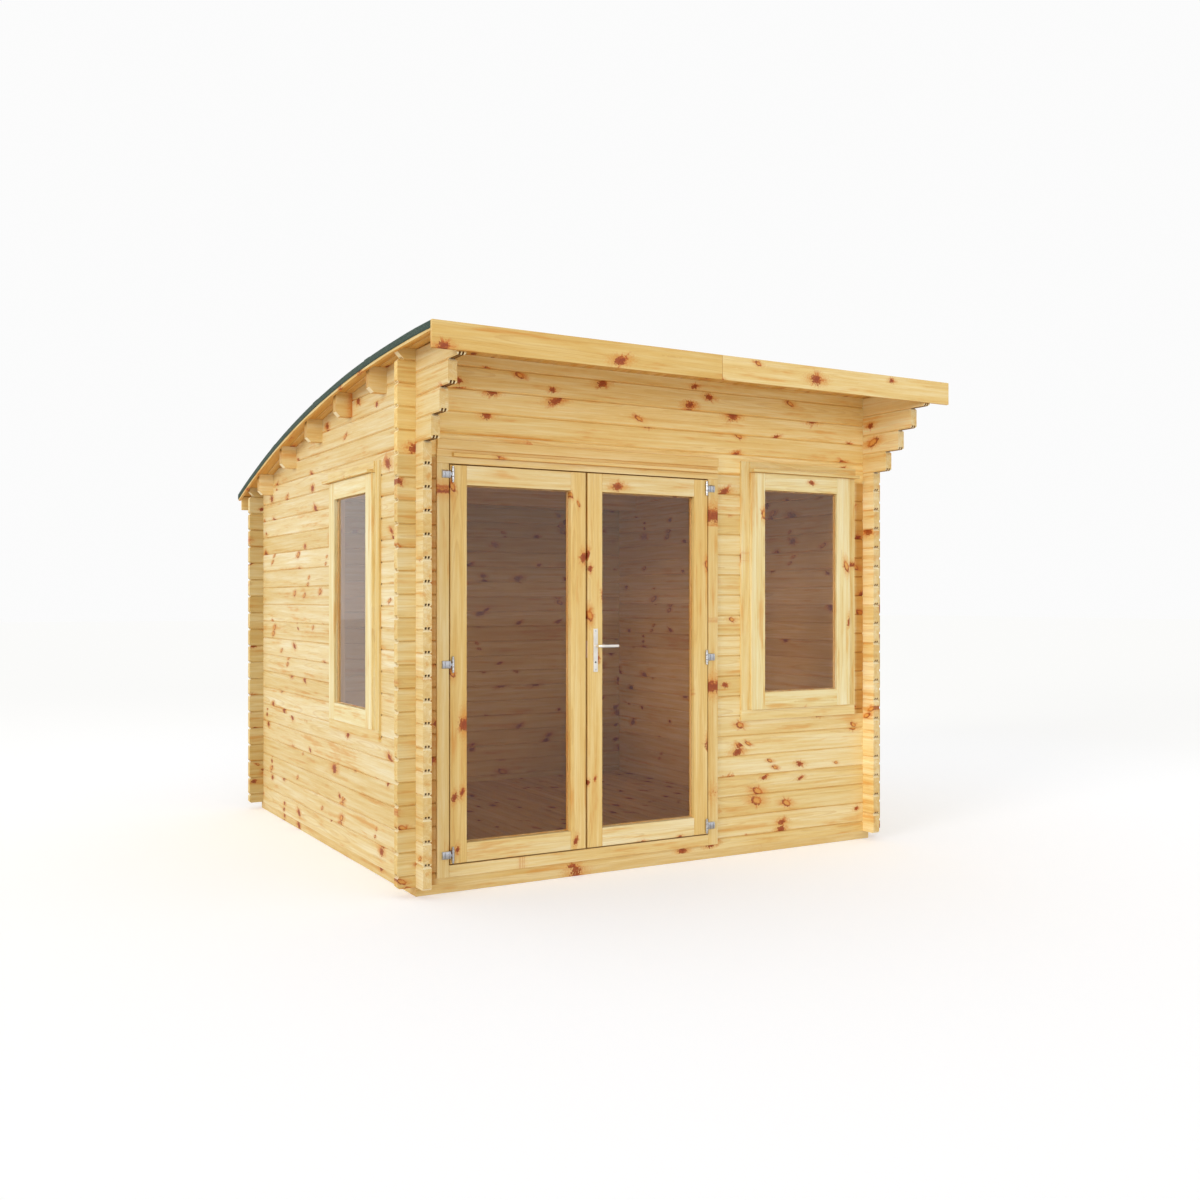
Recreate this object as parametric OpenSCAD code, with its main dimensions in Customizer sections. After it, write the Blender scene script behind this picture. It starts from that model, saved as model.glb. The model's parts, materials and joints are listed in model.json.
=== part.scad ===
// Log cabin with a one-way curved roof, a glazed double door, and a tall window
// in the front wall and in the left wall. Millimetres. X runs along the front
// from left to right, the front faces -Y, and Z is up. The origin is on the
// ground, under the middle of the roof.

/* [Logs] */
// Width of the cabin over the outer faces of its side walls
cabin_w = 2920; // [2800:20:3200]
// Depth of the cabin over the outer faces of its front and back walls
cabin_d = 2920; // [2800:20:3200]
// Height of one course of logs
log_h = 114; // [110:1:118]
// Thickness of a log
log_t = 45; // [40:1:50]
// Bevel along the long edges of a log
log_bevel = 6; // [4:1:10]
// How far the logs run on past the corners
stub = 94; // [80:1:110]
// Step by which each of the upper side logs reaches further forward
corbel_step = 103; // [80:1:110]

/* [Base] */
// Height of the base beams
beam_h = 46; // [40:1:60]
// Width of the base beams
beam_w = 70; // [60:1:90]
// Thickness of the floor boards
floor_t = 19; // [16:1:28]
// Number of floor joists
joists = 5; // [3:1:7]

/* [Roof] */
// Radius of the roof's curve
roof_r = 12475; // [12000:25:14000]
// Height of the roof at its crown
roof_top = 2694; // [2690:1:2700]
// How far the crown lies in front of the front wall
crown_out = 460; // [440:5:480]
// Overhang of the roof in front of the front wall, with the fascia
over_front = 526; // [524:1:540]
// Overhang of the roof behind the back wall, with the felt
over_back = 142; // [130:1:160]
// Overhang of the roof past each side wall, with the felt
over_side = 130; // [125:1:150]
// Thickness of the roof boards
deck_t = 16; // [14:1:22]
// Thickness of the felt
felt_t = 3; // [2:0.5:4]
// How far the felt is folded down over the edges
felt_fold = 36; // [30:1:40]
// Depth of the fascia at the front
fascia_h = 126; // [115:1:140]
// Depth of the fascia at the back
back_fascia_h = 92; // [80:1:100]
// Thickness of the fascias and of the battens along the sides
fascia_t = 18; // [16:1:22]
// Number of purlins
purlins_n = 5; // [4:1:6]
// Distance from the front wall to the middle of the first purlin
purlin_first = 433; // [400:1:450]
// Distance from one purlin to the next
purlin_pitch = 552; // [500:1:560]
// Width of a purlin
purlin_w = 50; // [45:1:60]
// Height of a purlin
purlin_h = 130; // [114:1:140]

/* [Door] */
// Distance from the left corner to the outside of the door frame
door_x = 105; // [100:1:110]
// Width of the door frame over its trim
door_w = 1685; // [1680:1:1700]
// Height of the door's trim at its upper edge
door_top = 2238; // [2234:1:2240]
// Width of the door frame's face
jamb_w = 64; // [60:1:70]
// How far the frame stands proud of the logs
proud = 14; // [12:1:18]
// Gap all round each leaf
leaf_gap = 6; // [5:1:8]
// Gap between the two leaves
meet_gap = 12; // [10:1:14]
// Thickness of a leaf
leaf_t = 45; // [40:1:46]
// Width of the stiles
stile_w = 89; // [80:1:95]
// Height of the top and bottom rails
rail_h = 97; // [90:1:110]
// How far the glass lies behind the face of a leaf
glass_back = 30; // [24:1:34]
// Thickness of the glass
glass_t = 4; // [4:1:6]
// Height of the lever above the ground
lever_z = 1203; // [1150:1:1250]
// Length of the lever
lever_l = 115; // [105:1:140]

/* [Windows] */
// Width of a window over its trim
window_w = 843; // [820:1:850]
// Height of a window over its trim
window_h = 1473; // [1470:1:1480]
// Distance from the left corner to the front window
front_window_x = 1954; // [1945:1:1960]
// Distance from the front corner to the left window
left_window_y = 492; // [480:1:500]
// Width of the window frame's face
window_face = 55; // [50:1:60]
// Width of the sash's stiles and rails
sash_w = 97; // [90:1:100]
// How far the sash stands proud of the window frame
sash_proud = 20; // [14:1:22]

/* [Hidden] */
$fn = 48;

// The front left corner of the walls, seen from the part's origin
half_w = cabin_w / 2;
front_y = (over_front - over_back - cabin_d) / 2;
seam = 0.4;
fit = 0.2;
big = 5000;
over = 1;
floor_gap = 5;

// Logs: the double tongue and groove, and the courses.
tongue_h = 5;
tongue_w = 7;
tongue_x = 8;
groove_h = 14;
groove_w = 10;
notch_d = log_h / 4;
low_courses = 6;
wall_courses = 18;
gable_courses = 23;
end_bevel = 9;
far_x = cabin_w - log_t;
far_y = cabin_d - log_t;

// Roof
purlin_ys = [for (i = [0:purlins_n - 1]) purlin_first + i * purlin_pitch];
fascia_y = fascia_t - over_front;
deck_back = cabin_d + over_back - felt_t;
roof_ys = concat([fascia_y, log_t / 2], purlin_ys, [cabin_d - log_t / 2, deck_back]);
deck_over = over_side - felt_t;
batten_h = 28;
purlin_bevel = 24;
top_bevel = 36;

// Door
door_in = 26;
frame_back = 20;
leaf_h = 1971;
sill_h = 59;
door_z = beam_h + log_h / 2 - door_in;
opening_z = beam_h + log_h / 2;
door_open_x0 = door_x + door_in;
door_open_x1 = door_x + door_w - door_in;
sill_top = door_z + sill_h;
leaf_z = sill_top + leaf_gap;
head_z = leaf_z + leaf_h + leaf_gap;
opening_top = beam_h + (wall_courses + 0.5) * log_h;
clear_x0 = door_x + jamb_w;
clear_x1 = door_x + door_w - jamb_w;
leaf_w = (clear_x1 - clear_x0 - 2 * leaf_gap - meet_gap) / 2;
left_x = clear_x0 + leaf_gap;
right_x = clear_x1 - leaf_gap - leaf_w;
door_middle = 2 * door_x + door_w;
stop_w = 13;
stop_t = 20;
stop_y = leaf_t - proud + leaf_gap + over;
trim_step = 8;
door_board_h = 50;
door_band_h = 14;
door_drip_h = 22;
door_drip_x = 14;
door_drip_out = 26;
drip_nose = 0.8;

// Hinges: a pin stands in front of each leaf's outer edge.
hinge_in = 11;
hinge_out = 9;
hinge_zs = [187, 1127, 2066];
knuckle_r = 7.5;
cap_r = 5.5;
pin_r = 4;
pin_fit = 0.1;
hinge_h = 83;
barrel_h = 59;
knuckle_h = 24;
knuckle_gap = 1;
lug_w = 9;
lug_h = 10;
bracket_r = 27;
bracket_l = 46;
bracket_out = 9;
bracket_gap = 10;

// Handle
handle_in = 44;
back_w = 26;
back_h = 228;
back_low = 137;
back_t = 8;
lever_r = 8;
lever_out = 52;
spindle_r = 6;
spindle_fit = 0.5;
key_r = 5;
key_drop = 86;

// Windows
window_in = 27;
window_z_front = beam_h + (low_courses + 0.5) * log_h - window_in;
window_z_left = beam_h + low_courses * log_h - window_in;
sash_gap = 1;
sash_t = 45;
sash_face = proud + sash_proud;
pane_back = 20;
sill_board_h = 59;
head_board_h = 61;
window_open_hi = window_h - window_in;
window_head = window_h - head_board_h;
window_drip_h = 20;
window_drip_out = 46;

wood = "burlywood";
wood_end = "navajowhite";

// Height of the roof's upper side above a place y behind the front wall
function roof_z(y) = roof_top - roof_r + sqrt(pow(roof_r, 2) - pow(y + crown_out, 2));
function roof_line(down) = [for (y = roof_ys) [y, roof_z(y) - down]];
function reversed(list) = [for (i = [len(list) - 1:-1:0]) list[i]];

// Moves from the left front corner of the walls to the part's own origin
module place() {
    translate([-half_w, front_y, 0]) children();
}

// The cross-section of a log: half of it from the bottom to the top. A log
// without a groove lies on the base and has a flat underside.
function log_half(h, top, bottom) = concat(
    bottom ? [
        [tongue_x - groove_w / 2, 0],
        [tongue_x - groove_w / 2, groove_h],
        [tongue_x + groove_w / 2, groove_h],
        [tongue_x + groove_w / 2, 0],
        [log_t / 2 - log_bevel, 0],
        [log_t / 2, log_bevel]
    ] : [[log_t / 2, 0]],
    [[log_t / 2, h - log_bevel], [log_t / 2 - log_bevel, h]],
    top ? [
        [tongue_x + tongue_w / 2, h],
        [tongue_x + tongue_w / 2, h + tongue_h],
        [tongue_x - tongue_w / 2, h + tongue_h],
        [tongue_x - tongue_w / 2, h]
    ] : []
);

module log_section(h, top, bottom) {
    right = log_half(h, top, bottom);
    polygon(concat(right, [for (p = reversed(right)) [-p[0], p[1]]]));
}

// The side view of a log, with bevelled ends and a saddle at each crossing
module log_side(from, to, h, crossings, bevel_from, bevel_to) {
    a = bevel_from;
    b = bevel_to;
    top = h + tongue_h;
    difference() {
        polygon([
            [from + a, 0], [from, a], [from, h - a], [from + a + (a > 0 ? tongue_h : 0), top],
            [to - b - (b > 0 ? tongue_h : 0), top], [to, h - b], [to, b], [to - b, 0]
        ]);
        for (c = crossings) {
            translate([c - fit, -over]) square([log_t + 2 * fit, notch_d + over]);
            translate([c - fit, log_h - notch_d - seam]) square([log_t + 2 * fit, log_h]);
        }
    }
}

// A log along X whose outer face is at y = 0
module log_x(from, to, z, crossings = [], a = 0, b = 0, h = log_h, top = true, bottom = true) {
    solid_h = h - seam;
    translate([0, log_t / 2, z])
        intersection() {
            translate([from, 0, 0])
                rotate([90, 0, 90])
                    linear_extrude(to - from) log_section(solid_h, top, bottom);
            translate([0, log_t, 0])
                rotate([90, 0, 0])
                    linear_extrude(2 * log_t) log_side(from, to, solid_h, crossings, a, b);
        }
}

// A log along Y whose outer face is at x = 0
module log_y(from, to, z, crossings = [], a = 0, b = 0, h = log_h, top = true, bottom = true) {
    translate([log_t, 0, 0])
        rotate([0, 0, 90])
            log_x(from, to, z, crossings, a, b, h, top, bottom);
}

// Everything under the roof boards
module under_roof() {
    translate([-big, 0, 0])
        rotate([90, 0, 90])
            linear_extrude(3 * big)
                polygon(concat(
                    roof_line(felt_t + deck_t),
                    [[deck_back, 0], [fascia_y, 0]]
                ));
}

module purlin_blocks(grow) {
    length = cabin_w + 2 * stub;
    for (y = purlin_ys) {
        z = roof_z(y) - felt_t - deck_t - purlin_h;
        translate([-stub, y - purlin_w / 2 - grow, z - grow])
            cube([length, purlin_w + 2 * grow, 2 * purlin_h]);
    }
}

module mirror_x() {
    mirror([1, 0, 0]) children();
}

// A box given by its two corners
module block(low, high) {
    translate(low) cube(high - low);
}

// ---- Base ----

module end_beams() {
    color(wood)
        place() {
            block([0, 0, 0], [cabin_w, beam_w, beam_h]);
            block([0, cabin_d - beam_w, 0], [cabin_w, cabin_d, beam_h]);
        }
}

module side_beams() {
    color(wood)
        place() {
            block([0, beam_w, 0], [beam_w, cabin_d - beam_w, beam_h]);
            block([cabin_w - beam_w, beam_w, 0], [cabin_w, cabin_d - beam_w, beam_h]);
        }
}

module floor_joists() {
    pitch = (cabin_d - beam_w) / (joists + 1);
    color(wood)
        place()
            for (i = [1:joists])
                block(
                    [beam_w, i * pitch, 0],
                    [cabin_w - beam_w, i * pitch + log_t, beam_h]
                );
}

module floor_boards() {
    edge = log_t + floor_gap;
    color(wood_end)
        place()
            block([edge, edge, beam_h], [cabin_w - edge, cabin_d - edge, beam_h + floor_t]);
}

// ---- Front wall ----

corner_xs = [0, far_x];
corner_ys = [0, far_y];

function cross_z(course) = beam_h + (course + 0.5) * log_h;
function side_z(course) = beam_h + course * log_h;

module front_sill_log() {
    color(wood)
        place()
            difference() {
                half_log_x();
                block(
                    [door_open_x0, -log_t, opening_z - seam],
                    [door_open_x1, 2 * log_t, opening_z + log_h]
                );
            }
}

// The half-height first log of the front and back walls
module half_log_x() {
    h = log_h / 2;
    difference() {
        log_x(-stub, cabin_w + stub, beam_h, [], end_bevel, end_bevel, h, true, false);
        for (x = corner_xs)
            block(
                [x - fit, -log_t, beam_h + notch_d - seam],
                [x + log_t + fit, 2 * log_t, beam_h + log_h]
            );
    }
}

module front_left_logs() {
    color(wood)
        place()
            for (k = [0:wall_courses - 1])
                log_x(-stub, door_open_x0, cross_z(k), [0], end_bevel, 0);
}

module front_low_logs() {
    color(wood)
        place()
            difference() {
                for (k = [0:low_courses - 1])
                    log_x(door_open_x1, cabin_w + stub, cross_z(k), [far_x], 0, end_bevel);
                translate([front_window_x, 0, window_z_front]) window_hole();
            }
}

module front_middle_logs() {
    color(wood)
        place()
            for (k = [low_courses:wall_courses - 1])
                log_x(door_open_x1, front_window_x + window_in, cross_z(k));
}

module front_right_logs() {
    from = front_window_x + window_w - window_in;
    color(wood)
        place()
            for (k = [low_courses:wall_courses - 1])
                log_x(from, cabin_w + stub, cross_z(k), [far_x], 0, end_bevel);
}

module front_top_logs() {
    color(wood)
        place() {
            difference() {
                for (k = [wall_courses:wall_courses + 3])
                    log_x(-stub, cabin_w + stub, cross_z(k), corner_xs, end_bevel, end_bevel);
                translate([front_window_x, 0, window_z_front]) window_hole();
            }
            top_log(0, cross_z(wall_courses + 4));
        }
}

// The last log under the roof boards of the front or back wall, with slanted ends
module top_log(y, z) {
    intersection() {
        under_roof();
        difference() {
            translate([0, y, 0])
                log_x(-stub, cabin_w + stub, z, [], 0, 0, log_h, false, true);
            for (x = corner_xs)
                block([x - fit, y - log_t, z - log_t], [x + log_t + fit, y + 2 * log_t, z + notch_d]);
            slant_ends(y - log_t, 3 * log_t, z, top_bevel);
        }
    }
}

// Wedges that bevel the lower edge of both ends of a beam along X
module slant_ends(y, width, z, size) {
    for (side = [0, 1])
        translate([side * cabin_w, y, z])
            mirror([side, 0, 0])
                translate([-stub, width, 0])
                    rotate([90, 0, 0])
                        linear_extrude(width)
                            polygon([[-over, -over], [size + over, -over], [-over, size + over]]);
}

// ---- Back wall ----

module back_logs() {
    color(wood)
        place() {
            translate([0, far_y, 0]) half_log_x();
            for (k = [0:wall_courses - 1])
                translate([0, far_y, 0])
                    log_x(-stub, cabin_w + stub, cross_z(k), corner_xs, end_bevel, end_bevel);
            top_log(far_y, cross_z(wall_courses));
        }
}

// ---- Side walls ----

module left_low_logs() {
    color(wood)
        place()
            difference() {
                for (k = [0:low_courses - 1]) side_log(k);
                on_left_wall() window_hole();
            }
}

// One side log from corner to corner
module side_log(k) {
    reach = max(stub, stub + (k - wall_courses) * corbel_step);
    log_y(-reach, cabin_d + stub, side_z(k), corner_ys, end_bevel, end_bevel, log_h, true, k > 0);
}

module left_front_logs() {
    color(wood)
        place()
            for (k = [low_courses:wall_courses - 1])
                log_y(-stub, left_window_y + window_in, side_z(k), [0], end_bevel, 0);
}

module left_rear_logs() {
    from = left_window_y + window_w - window_in;
    color(wood)
        place()
            for (k = [low_courses:wall_courses - 1])
                log_y(from, cabin_d + stub, side_z(k), [far_y], 0, end_bevel);
}

module gable_logs() {
    difference() {
        intersection() {
            for (k = [wall_courses:gable_courses - 1]) side_log(k);
            under_roof();
        }
        purlin_blocks(fit);
    }
}

module left_gable_logs() {
    color(wood)
        place()
            difference() {
                gable_logs();
                on_left_wall() window_hole();
            }
}

// The opening that a window needs in the logs
module window_hole() {
    block(
        [window_in, -log_t, window_in - seam],
        [window_w - window_in, 2 * log_t, window_open_hi]
    );
}

// Moves a window to the left wall, where it is the front window's mirror image
module on_left_wall() {
    translate([0, left_window_y, window_z_left])
        mirror([1, -1, 0]) children();
}

module right_logs() {
    color(wood)
        mirror_x()
            place()
                for (k = [0:wall_courses - 1]) side_log(k);
}

module right_gable_logs() {
    color(wood)
        mirror_x()
            place()
                gable_logs();
}

// ---- Roof ----

module purlins() {
    color(wood)
        place()
            difference() {
                intersection() {
                    purlin_blocks(0);
                    under_roof();
                }
                for (y = purlin_ys)
                    slant_ends(
                        y - purlin_w, 2 * purlin_w, roof_z(y) - felt_t - deck_t - purlin_h, purlin_bevel
                    );
            }
}

// A sheet that follows the roof's curve between two depths below its upper side
module roof_sheet(x_from, x_to, upper, lower) {
    translate([x_from, 0, 0])
        rotate([90, 0, 90])
            linear_extrude(x_to - x_from)
                polygon(concat(roof_line(upper), reversed(roof_line(lower))));
}

module roof_deck() {
    color(wood_end)
        place()
            roof_sheet(-deck_over, cabin_w + deck_over, felt_t, felt_t + deck_t);
}

module roof_felt() {
    back_z = roof_z(deck_back);
    color("darkslategray")
        place() {
            roof_sheet(-deck_over, cabin_w + deck_over, 0, felt_t);
            roof_sheet(-over_side, -deck_over, 0, felt_fold);
            roof_sheet(cabin_w + deck_over, cabin_w + over_side, 0, felt_fold);
            block(
                [-over_side, deck_back, back_z - felt_fold],
                [cabin_w + over_side, deck_back + felt_t, back_z]
            );
        }
}

module verge_battens() {
    upper = felt_t + deck_t;
    color(wood)
        place() {
            roof_sheet(-deck_over, fascia_t - deck_over, upper, upper + batten_h);
            roof_sheet(
                cabin_w + deck_over - fascia_t, cabin_w + deck_over, upper, upper + batten_h
            );
        }
}

module front_fascia() {
    color(wood)
        place()
            block(
                [-over_side, -over_front, roof_top - fascia_h],
                [cabin_w + over_side, fascia_y, roof_top]
            );
}

module back_fascia() {
    top = roof_z(deck_back) - felt_t - deck_t;
    inside = deck_over - fascia_t - over;
    color(wood)
        place()
            block(
                [-inside, deck_back - fascia_t, top - back_fascia_h],
                [cabin_w + inside, deck_back, top]
            );
}

// ---- Door frame ----

// A jamb, whose trim lies on the logs
module jamb() {
    block([door_x, -proud, door_z], [clear_x0, 0, head_z]);
    block([door_open_x0 + over, 0, opening_z], [clear_x0, log_t + frame_back, head_z]);
}

module door_jambs() {
    color(wood)
        place() {
            jamb();
            translate([door_middle, 0, 0]) mirror_x() jamb();
        }
}

// The strips that the leaves close against
module door_stops() {
    color(wood)
        place() {
            for (x = [clear_x0, clear_x1 - stop_w])
                block([x, stop_y, sill_top], [x + stop_w, stop_y + stop_t, head_z]);
            for (z = [sill_top, head_z - stop_w])
                block(
                    [clear_x0 + stop_w + fit, stop_y, z],
                    [clear_x1 - stop_w - fit, stop_y + stop_t, z + stop_w]
                );
        }
}

module door_head() {
    board_z = door_top - door_board_h - door_band_h - door_drip_h;
    color(wood)
        place() {
            block([door_x, -proud, head_z], [door_x + door_w, 0, board_z]);
            block(
                [door_open_x0 + over, 0, head_z],
                [door_open_x1 - over, log_t + frame_back, opening_top - over]
            );
        }
}

// The board over the door, a band set back under it, and a drip moulding
module door_head_trim() {
    color(wood)
        place()
            head_board(
                [door_x, door_x + door_w],
                [door_x + jamb_w + door_drip_x, door_x + door_w - door_drip_x],
                door_top - door_board_h - door_band_h - door_drip_h,
                door_top,
                door_drip_h,
                door_drip_out,
                door_band_h
            );
}

// A trim board between two heights, whose lower edge carries a drip moulding
module head_board(board_xs, drip_xs, low, high, drip_h, drip_out, band_h) {
    face_z = low + drip_h + band_h;
    block([board_xs[0], -proud - trim_step, face_z], [board_xs[1], 0, high]);
    block([board_xs[0], -proud, low + fit], [board_xs[1], 0, face_z + over]);
    translate([drip_xs[0], 0, low + fit])
        rotate([90, 0, 90])
            linear_extrude(drip_xs[1] - drip_xs[0])
                polygon([
                    [over - proud, 0], [-proud - drip_out, 0],
                    [-proud - drip_out, drip_h * drip_nose], [over - proud, drip_h]
                ]);
}

module door_sill() {
    color(wood)
        place() {
            block(
                [clear_x0 + fit, -proud, door_z],
                [clear_x1 - fit, 0, sill_top]
            );
            block(
                [clear_x0 + fit, 0, opening_z],
                [clear_x1 - fit, log_t + frame_back, sill_top]
            );
        }
}

// ---- Hinges ----

axis_y = -proud - hinge_out;

// The fixed half of a hinge: a round bracket on the jamb and the middle knuckle
module frame_hinge(z) {
    x = left_x + hinge_in;
    end = x - bracket_gap;
    difference() {
        union() {
            intersection() {
                translate([end - bracket_l, bracket_r - proud - bracket_out, z])
                    rotate([0, 90, 0])
                        cylinder(r = bracket_r, h = bracket_l);
                block(
                    [end - bracket_l, -proud - bracket_out, z - bracket_r],
                    [end, -proud, z + bracket_r]
                );
            }
            translate([x, axis_y, z - knuckle_h / 2])
                cylinder(r = knuckle_r, h = knuckle_h);
            block(
                [end - over, axis_y, z - lug_h / 2],
                [x - pin_r, axis_y + knuckle_r - over, z + lug_h / 2]
            );
        }
        translate([x, axis_y, z - knuckle_h])
            cylinder(r = pin_r + pin_fit, h = 2 * knuckle_h);
    }
}

module frame_hinges() {
    color("silver")
        place()
            for (z = hinge_zs) {
                frame_hinge(z);
                translate([door_middle, 0, 0]) mirror_x() frame_hinge(z);
            }
}

// The moving half: two knuckles with caps, the lugs that hold them, and the pin
module leaf_hinge(z) {
    reach = knuckle_h / 2 + knuckle_gap;
    translate([left_x + hinge_in, axis_y, z]) {
        for (side = [0, 1])
            mirror([0, 0, side])
                translate([0, 0, reach]) {
                    cylinder(r = knuckle_r, h = barrel_h / 2 - reach);
                    cylinder(r = cap_r, h = hinge_h / 2 - reach);
                    block([-lug_w / 2, 0, 0], [lug_w / 2, hinge_out, barrel_h / 2 - reach]);
                }
        translate([0, 0, over - barrel_h / 2])
            cylinder(r = pin_r, h = barrel_h - 2 * over);
    }
}

module left_leaf_hinges() {
    color("silver")
        place()
            for (z = hinge_zs) leaf_hinge(z);
}

module right_leaf_hinges() {
    color("silver")
        place()
            translate([door_middle, 0, 0])
                mirror_x()
                    for (z = hinge_zs) leaf_hinge(z);
}

// ---- Door leaves ----

module leaf_stiles(x) {
    for (at = [x, x + leaf_w - stile_w])
        block([at, -proud, leaf_z], [at + stile_w, leaf_t - proud, leaf_z + leaf_h]);
}

module leaf_rails(x) {
    for (z = [leaf_z, leaf_z + leaf_h - rail_h])
        block(
            [x + stile_w, -proud, z],
            [x + leaf_w - stile_w, leaf_t - proud, z + rail_h]
        );
}

module leaf_glass(x) {
    block(
        [x + stile_w, glass_back - proud, leaf_z + rail_h],
        [x + leaf_w - stile_w, glass_back + glass_t - proud, leaf_z + leaf_h - rail_h]
    );
}

module left_leaf_stiles() {
    color(wood_end) place() leaf_stiles(left_x);
}

module left_leaf_rails() {
    color(wood) place() leaf_rails(left_x);
}

module left_leaf_glass() {
    color("dimgray", 0.5) place() leaf_glass(left_x);
}

module right_leaf_stiles() {
    handle_x = right_x + handle_in;
    color(wood_end)
        place()
            difference() {
                leaf_stiles(right_x);
                translate([handle_x, -proud - over, lever_z])
                    rotate([-90, 0, 0])
                        cylinder(r = spindle_r + spindle_fit, h = leaf_t + 2 * over);
            }
}

module right_leaf_rails() {
    color(wood) place() leaf_rails(right_x);
}

module right_leaf_glass() {
    color("dimgray", 0.5) place() leaf_glass(right_x);
}

// ---- Handle ----

// A tall narrow plate with a hole for the spindle and one for the key
module handle_plate(y) {
    x = right_x + handle_in;
    difference() {
        block(
            [x - back_w / 2, y, lever_z - back_low],
            [x + back_w / 2, y + back_t, lever_z - back_low + back_h]
        );
        translate([x, y - over, lever_z])
            rotate([-90, 0, 0])
                cylinder(r = spindle_r + spindle_fit, h = back_t + 2 * over);
        translate([x, y - over, lever_z - key_drop])
            rotate([-90, 0, 0])
                cylinder(r = key_r, h = back_t + 2 * over);
    }
}

module handle_plates() {
    color("silver")
        place() {
            handle_plate(-proud - back_t);
            handle_plate(leaf_t - proud);
        }
}

// Both levers and the spindle that joins them
module door_lever() {
    x = right_x + handle_in;
    out = proud + lever_out;
    inside = leaf_t - proud + lever_out;
    color("silver")
        place()
            translate([x, 0, lever_z]) {
                translate([0, -out, 0])
                    rotate([-90, 0, 0])
                        cylinder(r = spindle_r, h = out + inside);
                for (y = [-out, inside])
                    translate([-lever_r, y, 0])
                        rotate([0, 90, 0])
                            cylinder(r = lever_r, h = lever_l + lever_r);
            }
}

// ---- Windows, drawn from the lower left corner of their trim ----

module window_frame() {
    back = log_t + frame_back;
    far = window_w - window_face;
    edge = window_in + over;
    foot = sill_board_h + fit;
    head = window_head + fit;
    open_hi = window_open_hi - over;
    // Near stile, which runs up past the head board
    block([0, -proud, foot], [window_face, 0, window_h]);
    block([edge, 0, foot], [window_face, back, open_hi]);
    // Far stile
    block([far, -proud, foot], [window_w, 0, window_head]);
    block([far, 0, foot], [window_w - edge, back, window_head]);
    // Bottom
    block([0, -proud, 0], [window_w, 0, sill_board_h]);
    block([edge, 0, edge], [window_w - edge, back, sill_board_h]);
    // Head
    block([window_face + fit, 0, head], [window_w - edge, back, open_hi]);
    head_board(
        [window_face + fit, window_w],
        [window_face + fit, window_w],
        window_head, window_h, window_drip_h, window_drip_out, 0
    );
}

module window_sash() {
    lo = window_face + sash_gap;
    hi = window_w - lo;
    z_lo = sill_board_h + sash_gap;
    z_hi = window_head - sash_gap;
    for (x = [lo, hi - sash_w])
        block([x, -sash_face, z_lo], [x + sash_w, sash_t - sash_face, z_hi]);
    for (z = [z_lo, z_hi - sash_w])
        block(
            [lo + sash_w + fit, -sash_face, z],
            [hi - sash_w - fit, sash_t - sash_face, z + sash_w]
        );
}

module window_glass() {
    lo = window_face + sash_gap + sash_w;
    z_lo = sill_board_h + sash_gap + sash_w;
    z_hi = window_head - sash_gap - sash_w;
    y = pane_back - sash_face;
    block([lo, y, z_lo], [window_w - lo, y + glass_t, z_hi]);
}

module at_front_window() {
    place()
        translate([front_window_x, 0, window_z_front]) children();
}

module at_left_window() {
    place()
        on_left_wall() children();
}

module front_window_frame() {
    color(wood) at_front_window() window_frame();
}

module front_window_sash() {
    color(wood_end) at_front_window() window_sash();
}

module front_window_glass() {
    color("dimgray", 0.5) at_front_window() window_glass();
}

module left_window_frame() {
    color(wood) at_left_window() window_frame();
}

module left_window_sash() {
    color(wood_end) at_left_window() window_sash();
}

module left_window_glass() {
    color("dimgray", 0.5) at_left_window() window_glass();
}

end_beams();
side_beams();
floor_joists();
floor_boards();
front_sill_log();
front_left_logs();
front_low_logs();
front_middle_logs();
front_right_logs();
front_top_logs();
back_logs();
left_low_logs();
left_front_logs();
left_rear_logs();
left_gable_logs();
right_logs();
right_gable_logs();
purlins();
roof_deck();
roof_felt();
verge_battens();
front_fascia();
back_fascia();
door_jambs();
door_stops();
door_head();
door_head_trim();
door_sill();
frame_hinges();
left_leaf_stiles();
left_leaf_rails();
left_leaf_glass();
left_leaf_hinges();
right_leaf_stiles();
right_leaf_rails();
right_leaf_glass();
right_leaf_hinges();
handle_plates();
door_lever();
front_window_frame();
front_window_sash();
front_window_glass();
left_window_frame();
left_window_sash();
left_window_glass();
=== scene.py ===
# Finishes and fine parts of a log cabin, in metres and in the part's own frame: X runs
# along the front from left to right, the front faces -Y, and Z is up.
import json
import math
import random

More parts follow.
